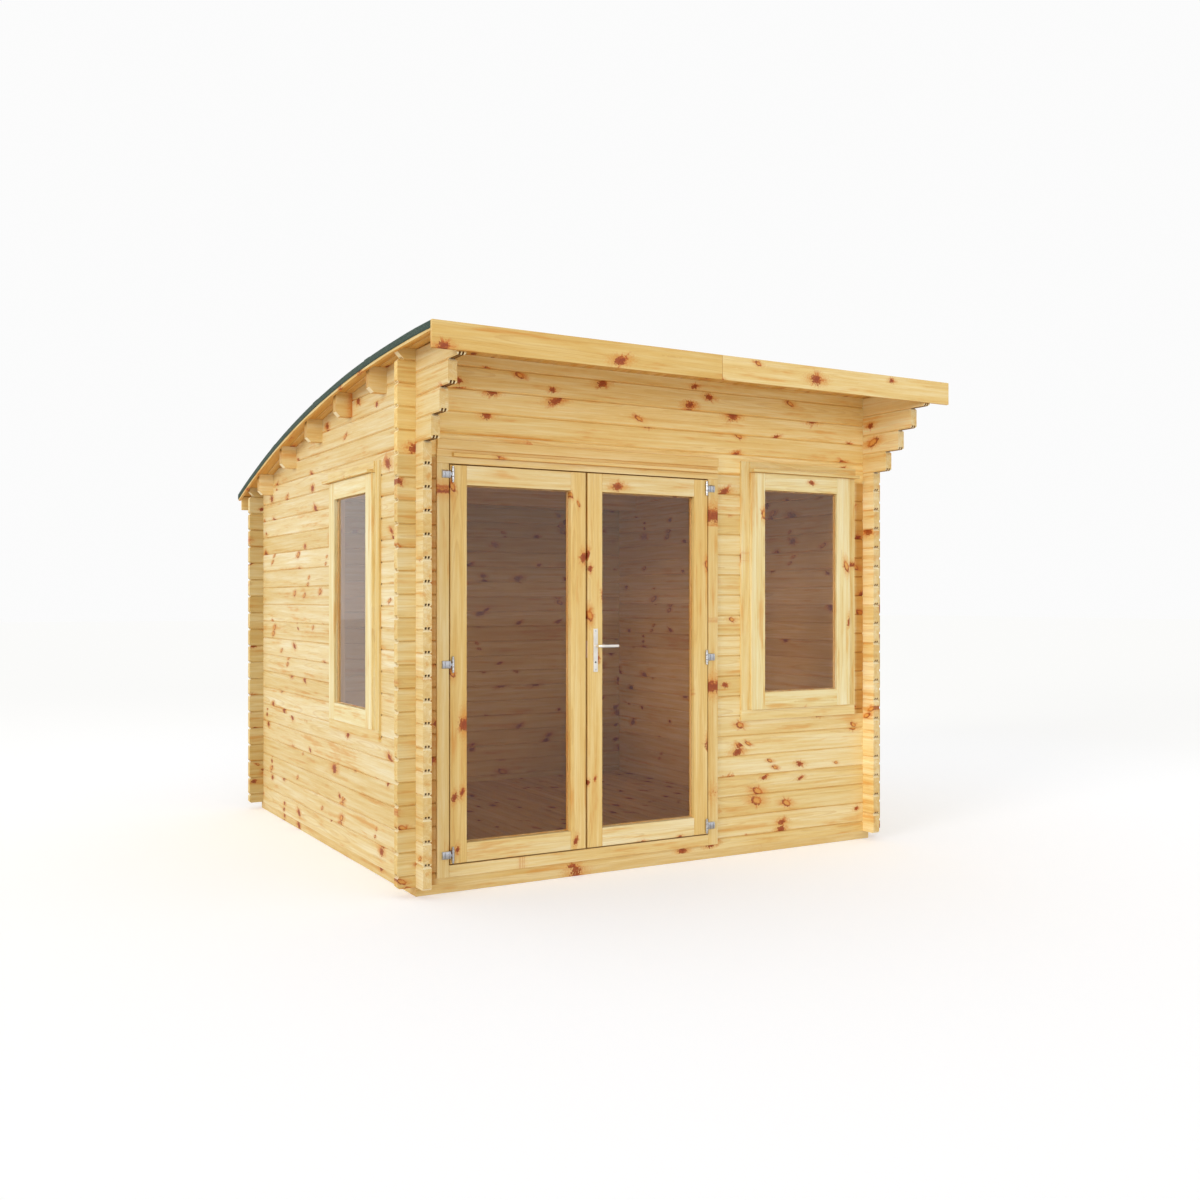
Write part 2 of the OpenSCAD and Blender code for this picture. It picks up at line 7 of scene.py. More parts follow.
import bmesh
import bpy
from mathutils import Euler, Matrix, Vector


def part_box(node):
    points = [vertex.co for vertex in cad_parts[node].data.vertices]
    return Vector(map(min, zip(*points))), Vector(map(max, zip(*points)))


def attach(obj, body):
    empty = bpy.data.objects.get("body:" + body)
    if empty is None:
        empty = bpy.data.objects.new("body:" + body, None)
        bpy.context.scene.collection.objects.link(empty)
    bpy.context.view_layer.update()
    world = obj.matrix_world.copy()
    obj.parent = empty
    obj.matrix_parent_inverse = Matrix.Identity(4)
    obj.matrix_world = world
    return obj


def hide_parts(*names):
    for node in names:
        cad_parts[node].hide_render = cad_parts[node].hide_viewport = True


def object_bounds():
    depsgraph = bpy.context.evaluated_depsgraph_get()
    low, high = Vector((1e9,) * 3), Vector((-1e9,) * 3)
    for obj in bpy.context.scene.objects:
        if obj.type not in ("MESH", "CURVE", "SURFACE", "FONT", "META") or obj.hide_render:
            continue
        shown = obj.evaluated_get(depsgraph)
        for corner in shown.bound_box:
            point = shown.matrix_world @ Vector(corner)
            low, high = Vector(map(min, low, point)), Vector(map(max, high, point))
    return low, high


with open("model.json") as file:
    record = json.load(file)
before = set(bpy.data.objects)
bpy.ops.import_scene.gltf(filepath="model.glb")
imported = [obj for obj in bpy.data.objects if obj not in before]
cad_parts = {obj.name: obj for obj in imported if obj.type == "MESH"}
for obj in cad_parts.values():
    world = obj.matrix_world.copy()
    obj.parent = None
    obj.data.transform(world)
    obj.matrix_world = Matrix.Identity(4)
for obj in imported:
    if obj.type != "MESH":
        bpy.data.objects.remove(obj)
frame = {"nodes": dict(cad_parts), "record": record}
cad_low, cad_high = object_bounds()

# ---- Sizes that the frame gives ----

BASE_LOW, BASE_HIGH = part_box("end_beams")
DECK_LOW, DECK_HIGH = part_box("roof_deck")
FELT_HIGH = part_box("roof_felt")[1]
FLOOR_LOW, FLOOR_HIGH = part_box("floor_boards")
SECOND_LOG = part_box("front_left_logs")[0].z
LOG_H = 2 * (SECOND_LOG - BASE_HIGH.z)
LOG_T = 0.045
WALL_MIDDLE_X = BASE_HIGH.x - LOG_T / 2
FRONT_MIDDLE_Y = BASE_LOW.y + LOG_T / 2
BACK_MIDDLE_Y = BASE_HIGH.y - LOG_T / 2

# The roof's curve: an arc whose crown lies in front of the front wall
ROOF_R = 12.475
ROOF_TOP = cad_high.z
CROWN_Y = BASE_LOW.y - 0.460
FELT_T = 0.0024
DECK_T = 0.016

# ---- Node trees ----


class Tree:
    """Short calls that fill a shader or geometry tree."""

    def __init__(self, tree):
        self.tree = tree

    def add(self, kind, inputs=None, **settings):
        node = self.tree.nodes.new(kind)
        for name, value in settings.items():
            setattr(node, name, value)
        for name, value in (inputs or {}).items():
            self.feed(node.inputs[name], value)
        return node

    def out(self, kind, inputs=None, **settings):
        """The first output of a new node."""
        return self.add(kind, inputs, **settings).outputs[0]

    def feed(self, socket, value):
        if isinstance(value, bpy.types.NodeSocket):
            self.tree.links.new(value, socket)
        else:
            socket.default_value = value

    def math(self, operation, *values):
        inputs = dict(enumerate(values))
        return self.out("ShaderNodeMath", inputs, operation=operation)

    def plus(self, first, second):
        return self.math("ADD", first, second)

    def minus(self, first, second):
        return self.math("SUBTRACT", first, second)

    def times(self, first, second, added=None):
        """Two values multiplied, with a third added if there is one."""
        if added is None:
            return self.math("MULTIPLY", first, second)
        return self.math("MULTIPLY_ADD", first, second, added)

    def over(self, first, second):
        return self.math("DIVIDE", first, second)

    def squared(self, value):
        return self.math("POWER", value, 2.0)

    def above(self, value, limit):
        """1 where the value is above the limit, else 0."""
        return self.math("GREATER_THAN", value, limit)

    def below(self, value, limit):
        """1 where the value is below the limit, else 0."""
        return self.math("LESS_THAN", value, limit)

    def vector_math(self, operation, *values):
        inputs = dict(enumerate(values))
        return self.out("ShaderNodeVectorMath", inputs, operation=operation)

    def split(self, vector):
        return self.add("ShaderNodeSeparateXYZ", {0: vector}).outputs

    def join(self, x, y, z):
        return self.out("ShaderNodeCombineXYZ", {0: x, 1: y, 2: z})

    def ease(self, value, start, end, low=0.0, high=1.0):
        """A smooth step from low at start to high at end."""
        inputs = {"Value": value, "From Min": start, "From Max": end, "To Min": low, "To Max": high}
        return self.out("ShaderNodeMapRange", inputs, interpolation_type="SMOOTHSTEP")

    def blend(self, share, first, second, blend_type="MIX"):
        inputs = {0: share, 6: first, 7: second}
        node = self.add("ShaderNodeMix", inputs, data_type="RGBA", blend_type=blend_type)
        return node.outputs[2]

    def dyed(self, color, dye, share=1.0):
        """A colour multiplied by a dye, as far as share says."""
        return self.blend(share, color, dye, "MULTIPLY")

    def noise(self, vector, scale=1.0, detail=2.0, roughness=0.5):
        inputs = {"Vector": vector, "Scale": scale, "Detail": detail, "Roughness": roughness}
        return self.add("ShaderNodeTexNoise", inputs).outputs

    def stretched(self, parts, factors):
        """A vector whose parts are multiplied by the factors."""
        return self.join(*(self.times(p, f) for p, f in zip(parts, factors)))

    def randoms(self, key):
        """Four random numbers for a key."""
        node = self.add("ShaderNodeTexWhiteNoise", {"W": key}, noise_dimensions="1D")
        return node.outputs["Value"], *self.split(node.outputs["Color"])

    def place(self):
        """Where on its piece a point is."""
        return self.add("ShaderNodeTexCoord").outputs["Object"]

    def coat(self, shader, color, roughness):
        self.feed(shader.inputs["Base Color"], color)
        self.feed(shader.inputs["Roughness"], roughness)

    def bump(self, shader, height, distance):
        bump = self.out("ShaderNodeBump", {"Height": height, "Distance": distance})
        self.feed(shader.inputs["Normal"], bump)

    def store(self, geometry, name, value, data_type, domain):
        """Keeps a value on the geometry under a name."""
        inputs = {"Geometry": geometry, "Name": name, "Value": value}
        kind = "GeometryNodeStoreNamedAttribute"
        return self.out(kind, inputs, data_type=data_type, domain=domain)

    def stored(self, name):
        inputs = {"Name": name}
        return self.out("GeometryNodeInputNamedAttribute", inputs, data_type="FLOAT")


def sockets(tree, direction, kinds):
    for name, kind in kinds.items():
        tree.interface.new_socket(name, in_out=direction, socket_type="NodeSocket" + kind)


# ---- Pine ----

PALE = (0.890, 0.745, 0.435, 1)
STRAW = (0.825, 0.620, 0.270, 1)
GOLD = (0.745, 0.490, 0.160, 1)
LATE = (0.580, 0.315, 0.085, 1)
AMBER = (0.720, 0.335, 0.065, 1)
RUST = (0.600, 0.160, 0.016, 1)
CORE = (0.270, 0.036, 0.003, 1)
END_GRAIN = (0.95, 0.89, 0.77, 1)
BEVEL = (0.95, 0.82, 0.52, 1)
# Painted shade: a warm darkening put on every pine face that looks down
UNDERSIDE_PAINTED_SHADE = (0.95, 0.72, 0.42, 1)
# Painted shade inside the logs' grooves
GROOVE_PAINTED_SHADE = (0.44, 0.29, 0.16, 1)
# Painted shade in the front wall's corners, beside the crossing logs
CORNER_PAINTED_SHADE = (0.68, 0.46, 0.22, 1)
CROSSING_SIDE = (0.84, 0.82, 0.76, 1)
# Painted light on the front wall above the openings, under the eaves
TOP_FRONT_PAINTED_LIGHT = (1.15, 1.15, 1.10, 1)
PALE_PIECE = (1.04, 1.06, 1.12, 1)
GOLDEN_PIECE = (0.93, 0.86, 0.70, 1)
PLAIN = (1, 1, 1, 1)
RING_PITCH = 0.0046
RING_SWAY = 0.07
RING_BEND = 0.012  # how far the rings bend round a knot
KNOT_ALONG = 0.30
KNOT_ACROSS = 0.15
KNOT_R = 0.0125
KNOT_GROWTH = 0.017
KNOT_RAGGED = 2.4
PAIR_APART = 0.021
NO_KNOT = 50.0  # a distance that no knot reaches


def pine_tree():
    """Planed pine: rings round a wandering pith, fibres, streaks and knots. Grain holds the
    place along, across and into the piece, from its own pith. Tone is a number for each
    piece, Knots is the share of places that hold a knot, and End is 1 on cut ends."""
    tree = bpy.data.node_groups.new("Pine", "ShaderNodeTree")
    kinds = {"Grain": "Vector", "Tone": "Float", "Knots": "Float", "End": "Float"}
    sockets(tree, "INPUT", kinds)
    sockets(tree, "OUTPUT", {"Color": "Color", "Roughness": "Float", "Height": "Float"})
    t = Tree(tree)
    given = t.add("NodeGroupInput").outputs
    tone = given["Tone"]
    along, across, depth = parts = t.split(given["Grain"])
    wobble = t.minus(t.noise(given["Grain"], 75.0, 3.0, 0.6)[0], 0.5)

    # Knots stand in cells along the face, some of them empty, some with a pair
    row = t.times(tone, 23.0, t.over(across, KNOT_ACROSS))
    place = t.join(t.over(along, KNOT_ALONG), row, 0.0)
    cell_inputs = {"Vector": place, "Scale": 1.0, "Randomness": 0.95}
    cell = t.add("ShaderNodeTexVoronoi", cell_inputs, voronoi_dimensions="2D").outputs
    chance, size, hue = t.split(cell["Color"])
    knot_x, knot_y, _ = t.split(t.vector_math("SUBTRACT", place, cell["Position"]))
    knot_x = t.times(knot_x, KNOT_ALONG)
    knot_y = t.times(knot_y, KNOT_ACROSS)
    radius = t.times(t.math("POWER", size, 1.5), KNOT_GROWTH, KNOT_R)
    paired = t.above(t.math("FRACT", t.times(size, 7.0)), 0.65)
    radius = t.times(radius, t.times(paired, -0.3, 1.0))
    empty = t.times(t.above(chance, given["Knots"]), NO_KNOT)
    lean = t.times(hue, 2.2, -1.1)
    leant_x = t.times(knot_y, lean, knot_x)
    hollow = t.above(hue, 0.68)
    ragged = t.minus(t.noise(given["Grain"], 110.0, 3.0, 0.65)[0], 0.5)
    ragged = t.times(ragged, t.times(hollow, -0.55, 1.0))

    def knot_distance(longer):
        x = t.squared(t.over(leant_x, longer))
        y = t.squared(t.times(paired, -PAIR_APART, t.math("ABSOLUTE", knot_y)))
        ratio = t.over(t.math("SQRT", t.plus(x, y)), radius)
        return t.times(ragged, KNOT_RAGGED, t.plus(ratio, empty))

    near = knot_distance(1.35)
    knot = t.ease(near, 1.15, 0.8)
    ring_line = t.times(t.ease(near, 0.5, 0.85), t.ease(near, 1.15, 0.95))
    heart = t.times(t.ease(near, 0.90, 0.45), t.minus(1.0, hollow))
    halo = t.ease(knot_distance(2.4), 2.0, 0.4)
    heading = t.vector_math("NORMALIZE", t.join(knot_x, knot_y, 0.0))
    spread = t.vector_math("MULTIPLY_ADD", heading, (1.9, 1.9, 1.9), cell["Position"])
    beam = t.noise(spread, 1.0, 2.0)[0]
    rays = t.times(t.ease(beam, 0.50, 0.64), t.ease(near, 2.4, 0.9))

    # Rings
    drift = t.noise(t.join(t.times(along, 0.8), t.times(tone, 31.0), 0.0))
    sway = t.vector_math("SUBTRACT", drift["Color"], (0.5, 0.5, 0.5))
    sway = t.vector_math("MULTIPLY", sway, (RING_SWAY, RING_SWAY, 0.0))
    sway_x, sway_y, _ = t.split(sway)
    side = t.plus(across, sway_x)
    deep = t.plus(depth, sway_y)
    squares = t.plus(t.squared(side), t.squared(deep))
    bent = t.times(halo, RING_BEND, t.math("SQRT", squares))
    ring = t.over(t.times(wobble, 0.0016, bent), RING_PITCH)
    phase = t.math("FRACT", ring)
    line = t.times(t.ease(phase, 0.35, 0.9), t.ease(phase, 1.0, 0.93))
    year = t.randoms(t.math("FLOOR", ring))[0]
    late = t.times(line, t.ease(year, 0.0, 1.0, 0.2, 1.0))

    # Fibres, flecks, streaks and broad patches
    fibre = t.noise(t.stretched(parts, (5.0, 330.0, 330.0)), detail=3.0)[0]
    fleck = t.noise(t.stretched(parts, (24.0, 210.0, 210.0)), detail=2.0)[0]
    streak = t.noise(t.stretched(parts, (1.6, 30.0, 30.0)), detail=4.0, roughness=0.65)[0]
    patch = t.noise(t.stretched(parts, (3.4, 15.0, 15.0)), detail=3.0, roughness=0.6)[0]

    color = t.blend(t.ease(streak, 0.32, 0.56), PALE, STRAW)
    color = t.blend(t.ease(streak, 0.52, 0.74), color, GOLD)
    color = t.blend(t.times(late, 0.30), color, LATE)
    color = t.blend(t.ease(fibre, 0.60, 0.85, 0.0, 0.24), color, LATE)
    color = t.blend(t.ease(fleck, 0.58, 0.80, 0.0, 0.45), color, PALE)
    warm = t.ease(t.times(streak, patch), 0.285, 0.42, 0.0, 0.62)
    color = t.blend(warm, color, AMBER)
    color = t.dyed(color, t.blend(tone, PALE_PIECE, GOLDEN_PIECE))
    glow = t.times(halo, t.ease(size, 0.0, 1.0, 0.45, 0.85))
    color = t.blend(glow, color, AMBER)
    color = t.blend(t.times(rays, 0.75), color, RUST)
    body = t.blend(t.times(hollow, t.ease(near, 0.80, 0.40)), RUST, AMBER)
    color = t.blend(t.times(knot, 0.92), color, body)
    lit_side = t.ease(t.over(t.plus(knot_x, knot_y), radius), 0.9, -0.6, 0.10, 1.0)
    dark = t.math("MAXIMUM", heart, t.times(ring_line, lit_side))
    color = t.blend(t.times(dark, 0.85), color, CORE)
    color = t.dyed(color, END_GRAIN, given["End"])
    color = t.blend(t.times(given["End"], t.times(late, 0.6)), color, LATE)

    roughness = t.ease(fibre, 0.2, 0.8, 0.46, 0.62)
    relief = t.times(fibre, 0.35, t.times(late, -0.5))
    height = t.times(knot, 0.4, relief)
    out = t.add("NodeGroupOutput")
    t.feed(out.inputs["Color"], color)
    t.feed(out.inputs["Roughness"], roughness)
    t.feed(out.inputs["Height"], height)
    return tree


PINE = pine_tree()


def new_material(name):
    """A material, its tree and its Principled shader."""
    material = bpy.data.materials.new(name)
    material.use_nodes = True
    t = Tree(material.node_tree)
    return material, t, material.node_tree.nodes["Principled BSDF"]


def add_pine(t, shader, grain, tone, knots, shade=PLAIN, relief=0.0005, end=0.0):
    """Puts pine on a shader. Shade darkens or pales it, and relief is its bump in metres.
    Faces that look down get a painted warm shade. Gives the colour back."""
    pine = t.add("ShaderNodeGroup", node_tree=PINE)
    for name, value in {"Grain": grain, "Tone": tone, "Knots": knots, "End": end}.items():
        t.feed(pine.inputs[name], value)
    color = t.dyed(pine.outputs["Color"], shade)
    upward = t.split(t.add("ShaderNodeTexCoord").outputs["Normal"])[2]
    # Painted shade on faces that look down
    color = t.dyed(color, UNDERSIDE_PAINTED_SHADE, t.ease(upward, -0.5, -0.95))
    t.coat(shader, color, pine.outputs["Roughness"])
    t.bump(shader, pine.outputs["Height"], relief)
    return color


GROOVE_EDGE = 0.0145  # how far from a log's middle its two grooves reach
GRAIN_SPREAD = 90.0
PITH_ACROSS = 0.12
PITH_DEEP = 0.14
CUT_END = 0.9
LENGTHWISE = 0.3


def stacked_pine(
    name, run, level, first, pitch, middles, knots, breaks=(), shade=PLAIN, ends=PLAIN,
    painted_indoor_light=PLAIN, grooved=False, corner=None,
):
    """Pine for timbers that lie along axis run, one after another along axis level from
    first on. Middles holds where the row on the low side and the row on the high side of
    the third axis have their middle, and breaks says where a low-side course is cut. Shade
    and ends dye all of the wood and its cut ends, and the indoor colour puts painted shade or
    painted light on the inner faces of the row on the high side. The grooves of grooved
    timbers get painted shade inside. Corner holds how far out the side walls' inner faces
    are, and between which levels the wood beside them gets painted shade; the crossing ends
    are darker too, and the front above the higher level gets painted light."""
    material, t, shader = new_material(name)
    coordinates = t.add("ShaderNodeTexCoord").outputs
    place = t.split(coordinates["Object"])
    normal = t.split(coordinates["Normal"])
    third = 3 - run - level
    depth = place[third]
    steps = t.over(t.minus(place[level], first), pitch)
    course = t.math("FLOOR", steps)
    high_side = t.above(depth, 0.0)
    key = t.times(high_side, 37.0, course)
    for cut, low, high in breaks:
        past = t.times(t.above(place[run], cut), t.above(place[level], low))
        past = t.times(past, t.below(place[level], high))
        past = t.times(past, t.below(depth, 0.0))
        key = t.times(past, 59.0, key)
    far, one, two, three = t.randoms(key)
    offset = t.times(t.minus(t.minus(steps, course), 0.5), pitch)
    low_middle, high_middle = middles
    middle = t.times(high_side, high_middle - low_middle, low_middle)
    from_middle = t.minus(depth, middle)
    grain = t.join(
        t.times(far, GRAIN_SPREAD, place[run]),
        t.times(t.minus(one, 0.5), PITH_ACROSS, offset),
        t.times(t.minus(two, 0.5), PITH_DEEP, from_middle),
    )
    facing = t.math("ABSOLUTE", normal[run])
    end = t.above(facing, CUT_END)
    lengthwise = t.below(facing, LENGTHWISE)
    if corner:
        edge, low, high = corner
        reach = t.math("ABSOLUTE", place[run])
        beside = t.times(t.below(reach, edge), t.ease(reach, edge - 0.08, edge - 0.04))
        knots = t.times(beside, 0.5, knots)
    color = add_pine(t, shader, grain, three, knots, shade, end=end)
    color = t.dyed(color, ends, end)
    # Painted light and shade on the inner faces of the row on the high side
    inner = t.times(high_side, t.below(normal[third], -0.2))
    color = t.dyed(color, painted_indoor_light, inner)
    bevel = t.times(t.ease(facing, LENGTHWISE, 0.5), t.ease(facing, CUT_END, 0.8))
    color = t.blend(t.times(bevel, 0.7), color, BEVEL)
    if grooved:
        # Painted shade inside the grooves, where the recess is in shade
        inside = t.below(t.math("ABSOLUTE", from_middle), GROOVE_EDGE)
        color = t.dyed(color, GROOVE_PAINTED_SHADE, t.times(inside, lengthwise))
    if corner:
        # Painted shade on the front wall's face beside the side walls, between two levels
        corner_shaded = t.math("MAXIMUM", t.below(place[run], 0.0), t.above(place[level], low))
        corner_shaded = t.times(corner_shaded, t.below(place[level], high))
        corner_shaded = t.times(corner_shaded, t.minus(1.0, high_side))
        color = t.dyed(color, CORNER_PAINTED_SHADE, t.times(corner_shaded, beside))
        crossing = t.times(t.above(reach, edge + LOG_T), lengthwise)
        color = t.dyed(color, CROSSING_SIDE, crossing)
        # Painted light: the front wall above the openings is made paler
        painted_light_above_front = t.minus(t.above(place[level], high), high_side)
        color = t.dyed(color, TOP_FRONT_PAINTED_LIGHT, painted_light_above_front)
    t.feed(shader.inputs["Base Color"], color)
    return material


def board_pine(name, knots, shade, relief=0.0003):
    """Pine for pieces that carry their own grain and tone."""
    material, t, shader = new_material(name)
    grain = t.add("ShaderNodeAttribute", attribute_name="grain").outputs["Vector"]
    tone = t.add("ShaderNodeAttribute", attribute_name="tone").outputs["Fac"]
    add_pine(t, shader, grain, tone, knots, shade, relief)
    return material


# ---- Other finishes ----


def mineral_felt():
    """Dark green roofing felt with a mineral surface."""
    material, t, shader = new_material("Mineral felt")
    place = t.place()
    grit = t.add("ShaderNodeTexVoronoi", {"Vector": place, "Scale": 420.0}).outputs
    _, shade, tint = t.split(grit["Color"])
    cloud = t.noise(place, 2.3, 4.0, 0.6)[0]
    speckle = t.noise(place, 130.0, 3.0, 0.7)[0]
    color = t.blend(shade, (0.016, 0.034, 0.024, 1), (0.062, 0.105, 0.078, 1))
    color = t.blend(t.ease(tint, 0.86, 1.0, 0.0, 0.8), color, (0.21, 0.25, 0.21, 1))
    color = t.blend(t.ease(speckle, 0.42, 0.68, 0.0, 0.55), color, (0.045, 0.085, 0.062, 1))
    color = t.blend(t.ease(cloud, 0.35, 0.75, 0.0, 0.35), color, (0.070, 0.098, 0.080, 1))
    t.coat(shader, color, t.ease(speckle, 0.2, 0.8, 0.82, 0.98))
    t.bump(shader, grit["Distance"], 0.0012)
    return material


def tinted_glass(name, tint):
    """Tinted glass that lets lamps through."""
    material, t, shader = new_material(name)
    haze = t.noise(t.place(), 3.0, 3.0, 0.6)[0]
    t.coat(shader, tint, t.ease(haze, 0.4, 0.8, 0.0, 0.03))
    shader.inputs["Transmission Weight"].default_value = 1.0
    shader.inputs["IOR"].default_value = 1.45
    clear = t.add("ShaderNodeBsdfTransparent", {"Color": tint})
    lamp = t.add("ShaderNodeLightPath").outputs["Is Shadow Ray"]
    mixed = t.add("ShaderNodeMixShader", {0: lamp, 1: shader.outputs[0], 2: clear.outputs[0]})
    out = material.node_tree.nodes["Material Output"]
    t.feed(out.inputs["Surface"], mixed.outputs[0])
    return material


def lacquer(name, color):
    """A plain lacquered face that is a little uneven."""
    material, t, shader = new_material(name)
    cloud = t.noise(t.place(), 60.0, 3.0)[0]
    dark = tuple(0.85 * c for c in color) + (1,)
    color = t.blend(t.ease(cloud, 0.3, 0.7), color + (1,), dark)
    t.coat(shader, color, t.ease(cloud, 0.3, 0.7, 0.35, 0.5))
    return material


def metal(name, color, roughness):
    """Plated or brushed metal, with fine level lines."""
    material, t, shader = new_material(name)
    place = t.place()
    lines = t.noise(t.stretched(t.split(place), (60.0, 60.0, 900.0)), detail=2.0)[0]
    cloud = t.noise(place, 30.0, 2.0)[0]
    dark = tuple(0.88 * c for c in color) + (1,)
    color = t.blend(t.ease(cloud, 0.3, 0.8), color + (1,), dark)
    t.coat(shader, color, t.ease(lines, 0.2, 0.8, roughness - 0.07, roughness + 0.1))
    shader.inputs["Metallic"].default_value = 1.0
    t.bump(shader, lines, 0.00001)
    return material


DOOR_LOW, DOOR_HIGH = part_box("door_head")
WINDOW_LOW, WINDOW_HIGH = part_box("front_window_frame")
SIDE_WINDOW_LOW, SIDE_WINDOW_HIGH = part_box("left_window_frame")
DOOR_MIDDLE = (DOOR_LOW.x + DOOR_HIGH.x) / 2
WINDOW_MIDDLE = (WINDOW_LOW.x + WINDOW_HIGH.x) / 2
SIDE_WINDOW_MIDDLE = (SIDE_WINDOW_LOW.y + SIDE_WINDOW_HIGH.y) / 2
OVER_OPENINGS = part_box("front_middle_logs")[1].z - 0.01
# Bands along the depth that hold one purlin or one cross timber each, and rough middles
PURLIN_BANDS_Y = -1.111
PURLIN_BAND = 0.552
PURLIN_Z = 2.4
TIMBER_BANDS_Y = BASE_LOW.y - 0.2
TIMBER_BAND = 0.475
TIMBER_Z = 0.02
SIDE_TIMBER_X = 1.4
SAWN = (0.93, 0.90, 0.84, 1)

FRONT_PINE = stacked_pine(
    "Pine logs across", 0, 2, SECOND_LOG, LOG_H, (FRONT_MIDDLE_Y, BACK_MIDDLE_Y), 0.55,
    [(DOOR_MIDDLE, SECOND_LOG, OVER_OPENINGS), (WINDOW_MIDDLE, WINDOW_LOW.z, OVER_OPENINGS)],
    # Painted shade darkens the back wall's inner face
    shade=(0.99, 1.0, 0.98, 1), ends=(1.06, 1.08, 1.04, 1), painted_indoor_light=(0.80, 0.80, 0.81, 1),
    corner=(WALL_MIDDLE_X - LOG_T / 2, WINDOW_LOW.z, OVER_OPENINGS),
)
SIDE_PINE = stacked_pine(
    "Pine logs along", 1, 2, BASE_HIGH.z, LOG_H, (-WALL_MIDDLE_X, WALL_MIDDLE_X), 0.42,
    [(SIDE_WINDOW_MIDDLE, SIDE_WINDOW_LOW.z, SIDE_WINDOW_HIGH.z)],
    # Painted light pales the right wall's inner face
    shade=(1.0, 1.05, 1.17, 1), painted_indoor_light=(1.16, 1.15, 1.10, 1), grooved=True,
)
PURLIN_PINE = stacked_pine(
    "Pine purlins", 0, 1, PURLIN_BANDS_Y, PURLIN_BAND, (PURLIN_Z, PURLIN_Z), 0.4,
    ends=(0.84, 0.74, 0.55, 1),
)
CROSS_TIMBER = stacked_pine(
    "Sawn cross timbers", 0, 1, TIMBER_BANDS_Y, TIMBER_BAND, (TIMBER_Z, TIMBER_Z), 0.35,
    shade=SAWN,
)
SIDE_TIMBER = stacked_pine(
    "Sawn side timbers", 1, 2, 0.0, BASE_HIGH.z, (-SIDE_TIMBER_X, SIDE_TIMBER_X), 0.35,
    shade=SAWN,
)
FRAME_PINE = board_pine("Pine door frame", 0.45, (0.95, 0.91, 0.79, 1))
HEAD_PINE = board_pine("Pine door head board", 0.45, (0.975, 0.88, 0.68, 1))
STILE_PINE = board_pine("Pine door stiles", 0.60, (0.955, 0.875, 0.67, 1))
RAIL_PINE = board_pine("Pine door rails", 0.45, (1.01, 1.05, 1.12, 1))
WINDOW_PINE = board_pine("Pine window frames", 0.40, (0.98, 1.0, 0.95, 1))
SASH_PINE = board_pine("Pale pine sashes", 0.08, (1.03, 1.13, 1.25, 1))
FASCIA_PINE = board_pine("Pine fascia boards", 0.40, (0.95, 0.88, 0.71, 1), 0.0004)
ROOF_BOARDS = board_pine("Pine roof boards", 0.55, (0.99, 0.97, 0.93, 1), 0.0004)
FLOOR_PINE = board_pine("Pine floor boards", 0.65, (0.93, 0.88, 0.80, 1), 0.0004)
FELT = mineral_felt()
GLASS = tinted_glass("Tinted glass", (0.88, 0.735, 0.620, 1))
HINGE_ZINC = metal("Zinc plated steel", (0.54, 0.55, 0.58), 0.30)
HANDLE_METAL = metal("Satin handle metal", (0.86, 0.83, 0.775), 0.42)
LOCK_STRIP = lacquer("Lock strip", (0.90, 0.68, 0.52))
DARK_STEEL = metal("Dark steel", (0.05, 0.045, 0.04), 0.5)
NAIL_STEEL = metal("Weathered nails", (0.23, 0.24, 0.24), 0.55)

# ---- Pieces ----

RECORD = frame["record"]
BODY_OF = {n: body for body, nodes in RECORD["behaviour"]["bodies"].items() for n in nodes}
SLOT_OF = {part["node"]: part["material_slot"] for part in RECORD["subparts"]}


def put(name, mesh, material, body, slot, *nodes):
    """A piece made of a mesh, on its body, that stands for CAD nodes. Its slot is not used."""
    piece = bpy.data.objects.new(name, mesh)
    bpy.context.scene.collection.objects.link(piece)
    mesh.materials.clear()
    mesh.materials.append(material)
    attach(piece, body)
    if nodes:
        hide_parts(*nodes)
    return piece


EDGE_ROUND = 0.0025
PITH_WIDE = 0.06
PITH_THIN = 0.07


def islands(mesh):
    """Lists of the vertex numbers of each loose part of a mesh."""
    near = [[] for _ in mesh.vertices]
    for edge in mesh.edges:
        a, b = edge.vertices
        near[a].append(b)
        near[b].append(a)
    seen = set()
    for start in range(len(near)):
        if start in seen:
            continue
        seen.add(start)
        island = [start]
        for vertex in island:
            for other in near[vertex]:
                if other not in seen:
                    seen.add(other)
                    island.append(other)
        yield island


def set_grain(mesh, seed, axis=None, tones=()):
    """Gives each loose part grain along its length, or along an axis, and a tone."""
    draw = random.Random(seed)
    mesh.attributes.new("grain", "FLOAT_VECTOR", "POINT")
    mesh.attributes.new("tone", "FLOAT", "POINT")
    grain = mesh.attributes["grain"].data
    tone = mesh.attributes["tone"].data
    for number, island in enumerate(islands(mesh)):
        points = [mesh.vertices[i].co for i in island]
        low = Vector(map(min, *points))
        high = Vector(map(max, *points))
        order = sorted(range(3), key=lambda i: low[i] - high[i])
        if axis is not None:
            order.remove(axis)
            order.insert(0, axis)
        run, wide, thin = order
        middle = (low + high) / 2
        start = draw.uniform(0, 80)
        pith_wide = draw.uniform(-PITH_WIDE, PITH_WIDE)
        pith_thin = draw.uniform(-PITH_THIN, PITH_THIN)
        its_tone = tones[number] if tones else draw.uniform(0.1, 0.7)
        for i, point in zip(island, points):
            from_middle = point - middle
            grain[i].vector = (
                point[run] + start, from_middle[wide] + pith_wide, from_middle[thin] + pith_thin
            )
            tone[i].value = its_tone


def mesh_of(shape, name):
    """The mesh of a finished shape."""
    mesh = bpy.data.meshes.new(name)
    shape.to_mesh(mesh)
    shape.free()
    return mesh


